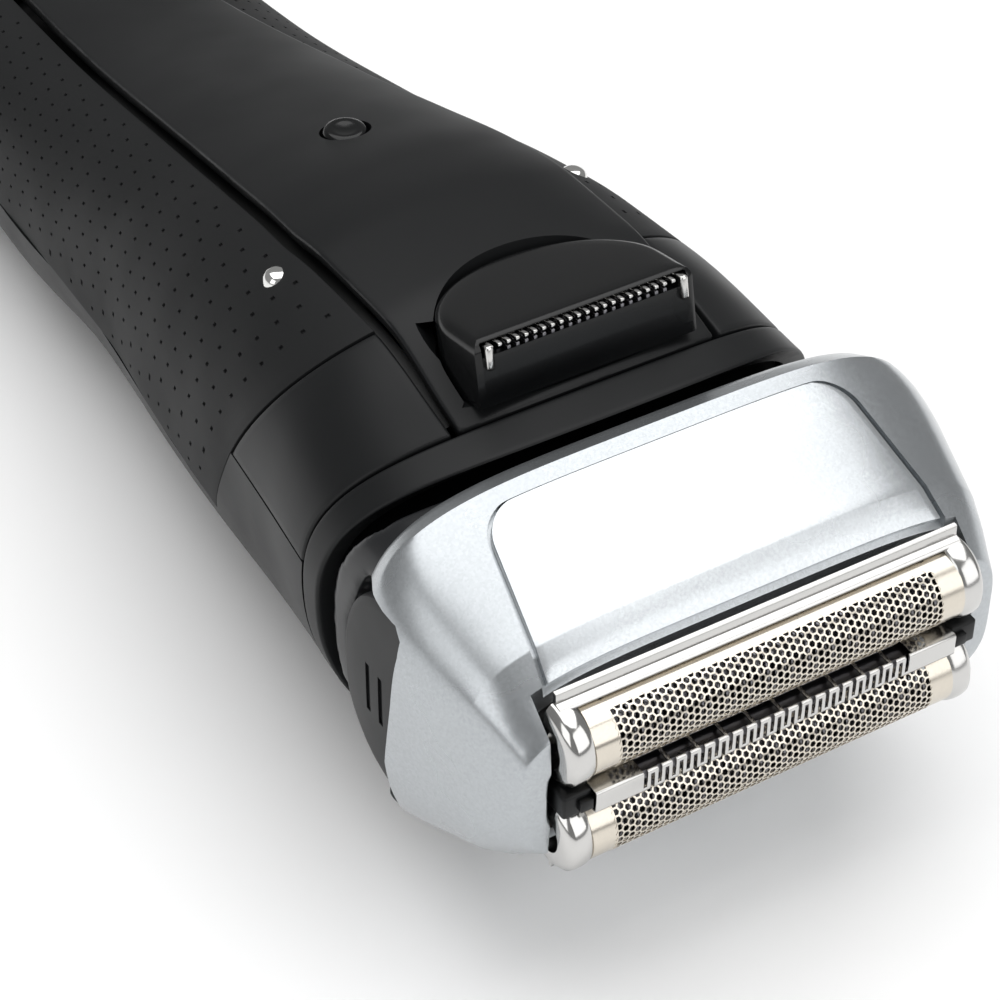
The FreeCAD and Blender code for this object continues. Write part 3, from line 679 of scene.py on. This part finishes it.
def foil_path(s):
    """The foil's section: (y, z) from its crest's front, s millimetres round it, up being positive."""
    quarter = FOIL_RADIUS * math.pi / 2
    if abs(s) <= quarter:
        angle = s / FOIL_RADIUS
        return FOIL_CREST - FOIL_RADIUS * math.cos(angle), FOIL_RADIUS * math.sin(angle)
    return FOIL_CREST + abs(s) - quarter, math.copysign(FOIL_RADIUS, s)


def face_forwards(obj):
    """Turns an open sheet's faces away from the inside of the head."""
    edit(obj, OUTWARDS)
    if min(obj.data.polygons, key=lambda face: face.center.y).normal.y > 0:
        edit(obj, FLIP)


def build_foil(label, centre, sizes):
    """A foil with a field of six-sided holes and plain ends."""
    pitch, hole = sizes.hole_pitch, sizes.hole_size
    column = pitch * math.sqrt(3) / 2
    columns = int(FIELD[0] / column)
    rows = int((FIELD[1] + pitch / 2) / pitch)

    # one cell: a six-sided rim with its hole, laid flat as (x, s)
    deselect()
    bpy.ops.mesh.primitive_circle_add(vertices=12, radius=1, fill_type="NGON")
    cell = bpy.context.object
    side = pitch / math.sqrt(3)
    for corner in cell.data.vertices:
        angle = math.atan2(corner.co.y, corner.co.x)
        reach = side * math.cos(math.pi / 6) / math.cos(abs((angle % (math.pi / 3)) - math.pi / 6))
        corner.co = (math.cos(angle) * reach, math.sin(angle) * reach, 0)
    edit(cell, (bpy.ops.mesh.inset, {"thickness": (pitch - hole) / 2, "use_even_offset": True}),
         (bpy.ops.mesh.delete, {"type": "FACE"}))
    shape = [(v.co.x, v.co.y) for v in cell.data.vertices]
    faces = [tuple(p.vertices) for p in cell.data.polygons]
    bpy.data.objects.remove(cell)

    points, polygons = [], []
    for i in range(-columns, columns + 1):
        shift = (i % 2) * pitch / 2
        for j in range(-rows, rows + (0 if i % 2 else 1)):
            start = len(points)
            points += [(i * column + x, j * pitch + shift + y) for x, y in shape]
            polygons += [tuple(k + start for k in face) for face in faces]
    mesh = bpy.data.meshes.new("foil_field")
    mesh.from_pydata([(x, s, 0) for x, s in points], [], polygons)
    obj = linked(f"foil_{label}_mesh", mesh)

    # plain ends and edges: strips that pass just under the field's stepped border
    edge_x = (columns + 0.5) * column
    edge_s = (rows + 0.05) * pitch
    full = FOIL_RADIUS * math.pi / 2 + LEG
    strips = []
    for low, high, s_low, s_high in ((-FOIL_HALF, 0.15 - edge_x, -full, full),
                                     (edge_x - 0.15, FOIL_HALF, -full, full),
                                     (-edge_x, edge_x, edge_s, full), (-edge_x, edge_x, -full, -edge_s)):
        strips.append(sheet("strip", 40, 24, lambda u, v, a=low, b=high, c=s_low, d=s_high:
                            Vector((a + (b - a) * u, c + (d - c) * v, -0.03))))
    obj = joined(obj.name, [obj] + strips)
    edit(obj, (bpy.ops.mesh.remove_doubles, {"threshold": 0.01}))
    for corner in obj.data.vertices:
        y, z = foil_path(corner.co.y)
        lift = corner.co.z
        out_y, out_z = (y - FOIL_CREST, z) if y < FOIL_CREST else (0, z)
        length = math.hypot(out_y, out_z) or 1
        corner.co = at(corner.co.x, y + out_y / length * lift, centre + z + out_z / length * lift)
    face_forwards(obj)
    apply_modifier(obj, "SOLIDIFY", thickness=WALL * MM, offset=-1.0)
    smooth(obj, 40)
    return dress(obj, f"{label}_foil_unit", "foil_nickel", f"foil_{label}")


# x from the foil's middle and radius round the crest line: the polished cap's section
RIM_END = [(18.75, 3.4)]
RIM_END += [(20.15 - 1.35 * math.cos(a), 3.4 + 0.6 * math.sin(a)) for a in map(math.radians, range(0, 130, 12))]
RIM_END += [(21.3, 3.4), (21.46, 3.0), (21.5, 2.0), (18.75, 2.0)]
CAP_AXIS = FOIL_CREST + 0.45  # the caps bend round this station
# (y, z) sections of the rails along the foil's outer and inner edges
OUTER_RAIL = [(4.55, 3.42), (3.75, 3.44), (3.42, 3.58), (3.3, 3.78), (3.38, 3.98), (3.6, 4.1), (3.9, 4.14),
              (4.05, 4.22), (4.1, 5.2), (4.2, 5.3), (4.55, 5.3)]
INNER_RAIL = [(4.55, 3.42), (3.95, 3.43), (3.8, 3.52), (3.8, 3.66), (3.95, 3.74), (4.55, 3.74)]


def build_rim(label, centre):
    """The rim that holds a foil: two curved caps and two raised rails."""
    outward = 1 if centre > 0 else -1
    parts = []
    steps, count = 28, len(RIM_END)
    for hand in (-1, 1):
        def place(u, v, hand=hand):
            x, radius = RIM_END[round(u * count) % count]
            t = v * (steps + 4) - 2
            angle = math.pi * min(1, max(0, t / steps)) - math.pi / 2
            # past each end of the bend the cap runs straight back, as a short leg
            y = CAP_AXIS - radius * math.cos(angle) + max(-t, t - steps, 0) / 2 * 0.7
            return at(hand * x, y, centre + radius * math.sin(angle))

        parts.append(edit(sheet("cap", count, steps + 4, place), MERGE, *CLOSE,
                          (bpy.ops.mesh.select_all, {"action": "SELECT"}), OUTWARDS))
    for rail, sense in ((OUTER_RAIL, outward), (INNER_RAIL, -outward)):
        parts.append(side_prism("rail", [(y, centre + sense * z) for y, z in rail], -20.6, 20.6))
    obj = edit(joined(f"foil_rim_{label}", parts), OUTWARDS)
    smooth(obj, 50)
    return dress(obj, f"{label}_foil_unit", "bright_bezel", f"foil_bezel_{label}")


# ---------------------------------------------------------------- middle comb trimmer
COMB_Z = 1.25
COMB_HALF = 1.2
COMB_FRONT = 0.25
COMB_DEEP = 5.05  # how far round the channel's section its edges are
TEETH_HALF = 14.2
COMB_X = 18.8


def comb_path(s):
    """The channel's section: s millimetres from the middle of its crest."""
    radius = 0.3
    flat = COMB_HALF - radius
    arc = radius * math.pi / 2
    a = abs(s)
    if a <= flat:
        return COMB_FRONT, s
    if a <= flat + arc:
        angle = (a - flat) / radius
        return COMB_FRONT + radius * (1 - math.cos(angle)), math.copysign(flat + radius * math.sin(angle), s)
    return COMB_FRONT + radius + (a - flat - arc), math.copysign(flat + radius, s)


def build_comb(sizes):
    """The middle trimmer's guard: plain ends and a winding strip of teeth between them."""
    half_slot = sizes.comb_pitch / 2
    count = int(TEETH_HALF / half_slot)
    edges = [i * half_slot for i in range(-count, count + 1)]
    stations = [-COMB_X] + edges + [COMB_X]
    stop, bend = 0.72, 0.9
    levels = [stop, bend, bend + 0.16, bend + 0.32, bend + 0.48, bend + 0.9, 3.0, 4.0, 5.1]
    levels = [-k for k in reversed(levels)] + [0] + levels

    def place(u, v):
        x = stations[round(u * (len(stations) - 1))]
        y, z = comb_path(max(-COMB_DEEP, min(COMB_DEEP, levels[round(v * (len(levels) - 1))])))
        return at(x, y, COMB_Z + z)

    obj = sheet("comb_guard", len(stations) - 1, len(levels) - 1, place)

    def open_slot(face):
        x, y, z = (face.center - HEAD_ORIGIN) / MM
        index = math.floor(x / half_slot + 1e-6)
        if abs(x) > count * half_slot or y > 1.9:
            return False
        if y > COMB_FRONT + 0.31:
            return index % 8 != 0  # the side walls keep one rib in eight
        if index % 2 == 0:
            return False
        # slots open to one side and the other in turn, so the strip winds
        rise = (z - COMB_Z) if (index // 2) % 2 == 0 else (COMB_Z - z)
        return rise > -stop

    pick_faces(obj, open_slot)
    bpy.ops.mesh.delete(type="FACE")
    bpy.ops.object.mode_set(mode="OBJECT")
    face_forwards(obj)
    apply_modifier(obj, "SOLIDIFY", thickness=0.22 * MM, offset=-1.0)
    rounded(obj, 0.06, 2, 50)
    smooth(obj, 40)
    return dress(obj, "comb_unit", "comb_steel", "comb_channel")


def build_comb_ends():
    """Black end blocks that carry the middle comb."""
    parts = []
    for hand in (-1, 1):
        low, high = sorted((hand * 18.75, hand * 21.6))
        parts.append(block("carrier", (low, 0.95, COMB_Z - 1.25), (high, 5.0, COMB_Z + 1.25), 0.3, 3))
        low, high = sorted((hand * 18.9, hand * 20.2))
        parts.append(block("clip", (low, 0.4, COMB_Z - 0.6), (high, 1.3, COMB_Z + 0.6), 0.15, 2))
    obj = smooth(joined("comb_end_blocks", parts))
    return dress(obj, "comb_unit", "black_plastic", "comb_carriers")


def build_cutters():
    """Cutter blocks under the foils: thin curved blades on a base."""
    for label, centre in zip(("rear", "front"), FOIL_Z):
        parts = [block("base", (-16.8, FOIL_CREST, centre - 2.2), (16.8, 4.9, centre + 2.2), 0.2)]
        radius, root, thick, pitch = 3.02, 2.4, 0.28, 0.84
        count = int(16.6 / pitch)
        for i in range(-count, count + 1):
            x = i * pitch

            def place(u, v, x=x):
                angle = math.pi * u - math.pi / 2
                reach = (root, radius, radius, root, root)[round(v * 4)]
                side = (-1, -1, 1, 1, -1)[round(v * 4)] * thick / 2
                lean = 0.35 * math.sin(angle)
                return at(x + side + lean, FOIL_CREST - reach * math.cos(angle),
                          centre + reach * math.sin(angle))

            parts.append(weld(sheet("blade", 10, 4, place)))
        post = block("post", (-2.1, 4.5, centre - 2.1), (2.1, 8.6, centre + 2.1), 0.6, 2)
        obj = smooth(joined(f"cutter_block_{label}", parts + [post]), 40)
        dress(obj, f"{label}_cutter", "cutter_steel", f"cutter_{label}")


# ---------------------------------------------------------------- head carrier and keys
# (y, z) outline of a release key
KEY = [(16.2, 8.9), (20.4, 10.9), (26.0, 8.3), (28.9, 2.0), (28.5, -5.6), (23.5, -10.4), (17.6, -8.9)]
# half width and scale of the key's outline, from its skirt to the top of its dome
KEY_DOME = ((25.7, 1.0), (26.5, 1.0), (26.72, 0.985), (26.86, 0.95), (26.95, 0.88), (27.05, 0.6), (27.1, 0.25))


def build_carrier():
    """The dark carrier behind the frame, with soft edges."""
    obj = from_node("carrier_body", "head_carrier")
    for low, high in ((-30, -24.9), (24.9, 30)):
        cut(obj, block("corner", (low, 8, -30), (high, 13.2, 30)))
    apply_modifier(obj, "REMESH", mode="VOXEL", voxel_size=0.36 * MM)
    apply_modifier(obj, "SMOOTH", factor=0.6, iterations=8)
    centre = [sum(p[k] for p in KEY) / len(KEY) for k in (0, 1)]
    bay = [tuple(c + (p - c) * 1.05 for c, p in zip(centre, point)) for point in rounded_loop(KEY, 4)]
    for low, high in ((-32, -24.4), (24.4, 32)):
        cut(obj, side_prism("key_bay", bay, low, high))
    smooth(obj, 60)
    return dress(obj, "head", "carrier_grey", "head_carrier")


def build_keys():
    """The two release keys: softly domed, with a pair of engraved bars."""
    outline = rounded_loop(KEY, 6)
    centre = [sum(p[k] for p in outline) / len(outline) for k in (0, 1)]
    n = len(outline)
    for hand, label in ((-1, "left"), (1, "right")):
        rows = [lambda u, x=x, k=k: at(hand * x, *(c + (p - c) * k for c, p in
                                                   zip(centre, outline[round(u * n) % n])))
                for x, k in KEY_DOME]
        obj = rings(f"release_key_{label}", rows, n)
        for y in (22.2, 24.4):
            low, high = sorted((hand * 26.85, hand * 28))
            cut(obj, block("bar", (low, y - 0.35, -4.0), (high, y + 0.35, 1.6)))
        smooth(obj, 30)
        dress(obj, f"{label}_key", "dark_satin", f"release_button_{label}")


# ---------------------------------------------------------------- handle shells
# radii round the pivot: the collar's two edges, and where the shells start behind it
COLLAR_IN, COLLAR_OUT, SEAM_R = 21.7, 25.0, 25.2


def build_collar(sizes):
    """The collar between head and handle, a ring of the handle's skin cut round the pivot."""
    def place(u, v):
        turn = FULL_TURN * u
        reach = COLLAR_IN + 0.1 + (COLLAR_OUT - COLLAR_IN - 0.1) * v
        y = solve(lambda s: pivot_reach(s, oval(HANDLE, s, turn)[1]) - reach, 18, 42)
        x, z = oval(HANDLE, y, turn)
        return at(x, y, z)

    obj = shell(weld(sheet("collar_ring", 160, 6, place)), sizes.shell_wall, sizes.edge)
    # room for the head to rock
    radius, count = COLLAR_IN + 0.05, 144
    turns = [FULL_TURN * k / count for k in range(count)]
    swing = [(PIVOT_Y + radius * math.cos(turn), PIVOT_Z + radius * math.sin(turn)) for turn in turns]
    cut(obj, side_prism("swing", swing, -40, 40))
    smooth(obj)
    return dress(obj, "handle", "dark_satin", "neck_collar")


def side_sheet(name, across, along, hand, edge_x, foot_z, front, back, columns=None, rows=None):
    """A sheet on one side of the handle, from the panel's gap down to a height."""
    def point(u, y):
        start, end = turn_at_x(y, edge_x(y)), turn_at_z(y, foot_z)
        return oval(HANDLE, y, start + (end - start) * u)

    def place(u, v):
        u = columns[round(u * across)] if columns else u
        v = rows[round(v * along)] if rows else v
        low = solve(lambda s: front(s, point(u, s)[1]), 24, 75)
        high = solve(lambda s: back(s, point(u, s)[1]), 24, CAP_Y + 5)
        y = low + (high - low) * v
        x, z = point(u, y)
        return at(hand * x, y, z)

    obj = edit(sheet(name, across, along, place), OUTWARDS)
    return edit(obj, FLIP) if obj.data.polygons[0].normal.x * hand < 0 else obj


def build_shoulders(sizes):
    """Smooth shoulders ahead of the grips."""
    for hand, label in ((-1, "left"), (1, "right")):
        obj = side_sheet(f"shoulder_shell_{label}", 24, 16, hand, lambda y: panel_half(y) + PANEL_GAP,
                         SEAM_FOOT[1] + 0.06, lambda y, z: pivot_reach(y, z) - SEAM_R,
                         lambda y, z: y - grip_front(z, -0.12))
        shell(obj, sizes.shell_wall, sizes.edge)
        dress(obj, "handle", "dark_satin", f"shoulder_{label}")


def stations_round(count, pit, between):
    """Stations from 0 to 1 with a narrow face, pit wide, in the middle of each of count steps."""
    values = [0.0]
    for k in range(count):
        centre = (k + 0.5) / count
        values += [centre - pit / 2, centre + pit / 2]
        values += [(k + 1) / count] if between else []
    return values if between else values + [1.0]


def build_grips(sizes):
    """Rubber grips with a staggered field of small dimples."""
    columns, rows = 22, 30
    # a dimple is 0.017 of the grip's girth across and 0.0056 of its length along
    across, along = stations_round(columns, 0.017, False), stations_round(rows, 0.0056, True)

    for hand, label in ((-1, "left"), (1, "right")):
        obj = side_sheet(f"grip_shell_{label}", len(across) - 1, len(along) - 1, hand,
                         lambda y: panel_half(y) + PANEL_GAP, GRIP_FOOT[1],
                         lambda y, z: y - grip_front(z, 0.12), lambda y, z: y - CAP_Y + 0.1, across, along)

        def dimple(face):
            column, row = face.index % (len(across) - 1), face.index // (len(across) - 1)
            if column % 2 == 0 or row % 3 != 1:
                return False
            i, j = column // 2, row // 3
            return (i + j) % 2 == 0 and 1 <= i <= columns - 2 and 1 <= j <= rows - 2

        pick_faces(obj, dimple)
        bpy.ops.mesh.inset(thickness=0.06 * MM, depth=-0.22 * MM, use_individual=True)
        bpy.ops.object.mode_set(mode="OBJECT")
        apply_modifier(obj, "SOLIDIFY", thickness=sizes.shell_wall * MM, offset=-1.0, use_even_offset=False)
        smooth(rounded(obj, sizes.edge, 3, 86), 40)
        dress(obj, "handle", "grip_rubber", f"side_grip_{label}")


def build_back_panel(sizes):
    """The smooth back panel, proud of the grips, with a scooped pocket for the trimmer."""
    def place(u, v):
        share = 2 * u - 1

        def point(y):
            x = share * panel_half(y)
            lift = sizes.panel_proud * smoothstep(31, 44, y)
            return x, top_height(HANDLE, x, y) + lift

        front = solve(lambda s: pivot_reach(s, point(s)[1]) - SEAM_R, 24, 45)
        y = front + (CAP_Y - front) * v
        x, z = point(y)
        return at(x, y, z)

    obj = sheet("back_panel_shell", 44, 150, place)
    shell(obj, sizes.shell_wall, 0.5)
    for low, high, small, large in ((-0.6, 12, 0.3, 0.3), (2.2, 4.4, 0.3, 1.9)):
        rows = [lambda u, z=z, k=k: trim_at(*pocket_outline(u, k), z) for z, k in ((low, small), (high, large))]
        cut(obj, rings("pocket", rows, 72))
    cut(obj, block("keel_way", (-6.3, 0.6, -2.4), (6.3, 15.9, 0.5), place=trim_at))
    cut(obj, lathe("bore", [(10, 2.6), (24, 2.6)], lambda x, y, z: at(x, CATCH_Y + y, z)))
    smooth(obj, 30)
    return dress(obj, "handle", "dark_satin", "rear_panel")


DOME_FRONT = 5.0  # the trimmer's sides are straight as far as this, and then round


def pocket_outline(turn, spare):
    """Plan of the pocket: the trimmer's outline, open towards the head, its scoop dying out forwards."""
    x, y = dome_plan(turn, spare)
    if y < DOME_FRONT:
        wide = 1.5 if y < 1.6 else 0.3 + (spare - 0.3) * y / DOME_FRONT
        x *= (TRIM_HALF + wide) / (TRIM_HALF + spare)
    return x, (-14 if y < 0.5 else y)


def dome_plan(turn, spare):
    """Plan of the trimmer, anticlockwise from its front left corner."""
    half = TRIM_HALF + spare
    straight, side = 0.34, 0.08  # shares of the turn for the front and for each side
    if turn < straight:
        return -half + 2 * half * turn / straight, -spare
    if turn < straight + side:
        return half, -spare + (DOME_FRONT + spare) * (turn - straight) / side
    if turn > 1 - side:
        return -half, DOME_FRONT - (DOME_FRONT + spare) * (turn - 1 + side) / side
    angle = math.pi * (turn - straight - side) / (1 - straight - 2 * side)
    return half * math.cos(angle), DOME_FRONT + (9.0 + spare) * math.sin(angle)


# ---------------------------------------------------------------- long-hair trimmer
def build_trimmer(sizes):
    """The trimmer's black cover, softly crowned, with a bed for the blades."""
    radius = 1.1
    profile = [(-0.25, 0.0), (TRIM_TOP - radius, 0.0)]
    profile += [(TRIM_TOP - radius + radius * math.sin(a), radius * (1 - math.cos(a)))
                for a in (math.radians(k) for k in (15, 30, 45, 60, 75, 88))]
    profile += [(TRIM_TOP + 0.03, 2.0), (TRIM_TOP + 0.05, 3.4)]
    obj = rings("trimmer_cover", [lambda u, z=z, k=k: trim_at(*dome_plan(u, -k), z) for z, k in profile], 96)
    cut(obj, block("blade_slot", (-10.7, -2, 4.62), (10.7, 2.7, 5.9), place=trim_at))
    cut(obj, block("blade_opening", (-10.6, -2, 5.8), (10.6, 0.45, 8), place=trim_at))
    keel = block("keel", (-6, 8, -2.0), (6, 15.2, 0.2), 0.2, place=trim_at)
    obj = smooth(joined("trimmer_cover", [obj, keel]), 30)
    dress(obj, "trimmer", "gloss_black", "trimmer_housing")

    def teeth(half, z_low, z_high, back, tip, width):
        """A bar with a row of teeth in front of it."""
        parts = [block("bar", (-half, back - 1.2, z_low), (half, back, z_high), 0.08, place=trim_at)]
        pitch = sizes.tooth_pitch
        count = int((half - width) / pitch)
        for i in range(-count, count + 1):
            parts.append(block("tooth", (i * pitch - width / 2, tip, z_low),
                               (i * pitch + width / 2, back - 1.1, z_high), 0.1, place=trim_at))
        return parts

    parts = teeth(10.35, 5.4, 5.78, 2.4, -0.45, 0.42)
    for hand in (-1, 1):
        low, high = sorted((hand * 9.7, hand * 10.5))
        parts.append(block("end", (low, -0.6, 3.4), (high, 0.4, 5.78), 0.3, 3, place=trim_at))
    obj = smooth(joined("long_hair_comb", parts))
    dress(obj, "trimmer", "comb_steel", "trimmer_comb")
    obj = smooth(joined("long_hair_cutter", teeth(8.7, 4.78, 5.2, 2.2, -0.35, 0.4)))
    dress(obj, "trimmer_blade", "cutter_steel", "trimmer_cutter")


# ---------------------------------------------------------------- small parts
def build_small_parts():
    """The catch for the trimmer and the charging contacts."""
    catch = lathe("trimmer_catch", [(11.4, 3.1), (12.2, 3.1), (12.2, 2.3), (17.6, 2.3), (18.1, 2.22),
                                    (18.4, 2.0), (18.55, 1.6), (18.45, 1.1), (18.3, 0.5)],
                  lambda x, y, z: at(x, CATCH_Y + y, z))
    smooth(catch, 40)
    dress(catch, "release_key", "gloss_black", "trimmer_release")
    contact = [(10.5, 1.5), (16.3, 1.5), (16.9, 1.4), (17.3, 1.12), (17.5, 0.72), (17.56, 0.3)]
    pins = [lathe("pin", contact, lambda x, y, z, side=side: at(side + x, CONTACT_Y + y, z), 32)
            for side in (-16.2, 16.2)]
    obj = smooth(joined("charging_pins", pins), 45)
    dress(obj, "handle", "contact_chrome", "charging_contacts")


def finish_cad_nodes():
    """Gives every CAD node that stays its own finish."""
    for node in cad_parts.values():
        for slot in node.material_slots:
            slot.material = FINISHES[slot.material.name.split(".")[0]]


# ---------------------------------------------------------------- stage
# the camera's right, up and backward directions
CAMERA_TURN = ((0.85496, -0.51865, 0.00721), (0.33327, 0.55992, 0.75860), (-0.39748, -0.64617, 0.65157))


def lamp(name, place, target, size, power):
    """A soft box light aimed at a point, in metres and watts."""
    light = bpy.data.lights.new(name, "AREA")
    light.shape, light.energy = "RECTANGLE", power
    light.size, light.size_y = size
    obj = linked(name, light)
    obj.location = place
    obj.rotation_euler = (target - Vector(place)).to_track_quat("-Z", "Y").to_euler()


def build_stage():
    """A pale floor, soft lights and the camera."""
    deselect()
    bpy.ops.mesh.primitive_plane_add(size=6)
    floor = bpy.context.object
    floor.name = "floor"
    # matt white paper: even, with no sheen
    floor.data.materials.append(surface("white_paper_sweep", "#FDFDFD", 0, 0.9, grain=3.0, spread=0.005, bump=0.0))
    head = at(0, 12, 2)
    lamp("overhead_box", (0.06, 0.08, 0.75), head, (1.05, 0.85), 5.8)
    lamp("left_box", (-0.75, -0.25, 0.40), head, (0.5, 0.6), 1.4)
    lamp("front_box", (0.30, -0.8, 0.50), head, (1.1, 0.8), 4.2)
    world = bpy.data.worlds.new("studio")
    bpy.context.scene.world = world
    world.use_nodes = True
    backdrop = world.node_tree.nodes["Background"].inputs
    backdrop["Color"].default_value, backdrop["Strength"].default_value = (1, 1, 1, 1), 0.28
    camera = bpy.data.cameras.new("camera")
    camera.lens, camera.sensor_width = 108, 36
    camera.clip_start, camera.clip_end = 0.01, 20
    obj = linked("camera", camera)
    obj.matrix_world = Matrix.Translation(at(-116.43, -142.70, 183.03)) @ Matrix(CAMERA_TURN).transposed().to_4x4()
    bpy.context.scene.camera = obj
    bpy.context.scene.view_settings.view_transform = "Standard"


# ---------------------------------------------------------------- operators
class SHAVER_OT_stage(bpy.types.Operator):
    """Adds the floor, the lights and the camera"""
    bl_idname = "shaver.stage"
    bl_label = "Stage"

    def execute(self, context):
        build_stage()
        return {"FINISHED"}


class SHAVER_OT_finishes(bpy.types.Operator):
    """Makes every finish and gives the CAD nodes theirs"""
    bl_idname = "shaver.finishes"
    bl_label = "Finishes"

    def execute(self, context):
        make_finishes(context.scene.shaver_colours)
        finish_cad_nodes()
        return {"FINISHED"}


class SHAVER_OT_silver_frame(bpy.types.Operator):
    """Models the silver frame and its inset panels"""
    bl_idname = "shaver.silver_frame"
    bl_label = "Silver frame"

    def execute(self, context):
        build_frame(sizes_of(context))
        build_inset_panels()
        return {"FINISHED"}


class SHAVER_OT_foils(bpy.types.Operator):
    """Models both foils, their rims and the cutter blocks"""
    bl_idname = "shaver.foils"
    bl_label = "Foils"

    def execute(self, context):
        for label, centre in zip(("rear", "front"), FOIL_Z):
            build_foil(label, centre, sizes_of(context))
            build_rim(label, centre)
        build_cutters()
        return {"FINISHED"}


class SHAVER_OT_middle_comb(bpy.types.Operator):
    """Models the middle trimmer's guard and end blocks"""
    bl_idname = "shaver.middle_comb"
    bl_label = "Middle comb"

    def execute(self, context):
        build_comb(sizes_of(context))
        build_comb_ends()
        return {"FINISHED"}


class SHAVER_OT_carrier(bpy.types.Operator):
    """Models the head carrier and the release keys"""
    bl_idname = "shaver.carrier"
    bl_label = "Carrier and keys"

    def execute(self, context):
        build_carrier()
        build_keys()
        return {"FINISHED"}


class SHAVER_OT_handle(bpy.types.Operator):
    """Models the collar, shoulders, grips and back panel"""
    bl_idname = "shaver.handle"
    bl_label = "Handle shells"

    def execute(self, context):
        sizes = sizes_of(context)
        build_collar(sizes)
        build_shoulders(sizes)
        build_grips(sizes)
        build_back_panel(sizes)
        return {"FINISHED"}


class SHAVER_OT_trimmer(bpy.types.Operator):
    """Models the long-hair trimmer, its catch and the contacts"""
    bl_idname = "shaver.trimmer"
    bl_label = "Trimmer and small parts"

    def execute(self, context):
        build_trimmer(sizes_of(context))
        build_small_parts()
        return {"FINISHED"}


STEPS = (SHAVER_OT_stage, SHAVER_OT_finishes, SHAVER_OT_silver_frame, SHAVER_OT_foils, SHAVER_OT_middle_comb,
         SHAVER_OT_carrier, SHAVER_OT_handle, SHAVER_OT_trimmer)


class SHAVER_PT_panel(bpy.types.Panel):
    """Lists the sizes, the colours and the steps"""
    bl_label = "Shaver"
    bl_space_type = "VIEW_3D"
    bl_region_type = "UI"
    bl_category = "Shaver"

    def draw(self, context):
        for group in (context.scene.shaver_sizes, context.scene.shaver_colours):
            for name in group.__annotations__:
                self.layout.prop(group, name)
        for step in STEPS:
            self.layout.operator(step.bl_idname)


CLASSES = (ShaverSizes, ShaverColours) + STEPS + (SHAVER_PT_panel,)


def register():
    """Adds the classes and the settings."""
    for item in CLASSES:
        bpy.utils.register_class(item)
    bpy.types.Scene.shaver_sizes = PointerProperty(type=ShaverSizes)
    bpy.types.Scene.shaver_colours = PointerProperty(type=ShaverColours)


def unregister():
    """Removes the settings and the classes."""
    del bpy.types.Scene.shaver_colours
    del bpy.types.Scene.shaver_sizes
    for item in reversed(CLASSES):
        bpy.utils.unregister_class(item)


def main():
    """Registers the add-on and models the shaver."""
    register()
    for step in STEPS:
        group, name = step.bl_idname.split(".")
        getattr(getattr(bpy.ops, group), name)()


if __name__ == "__main__":
    main()
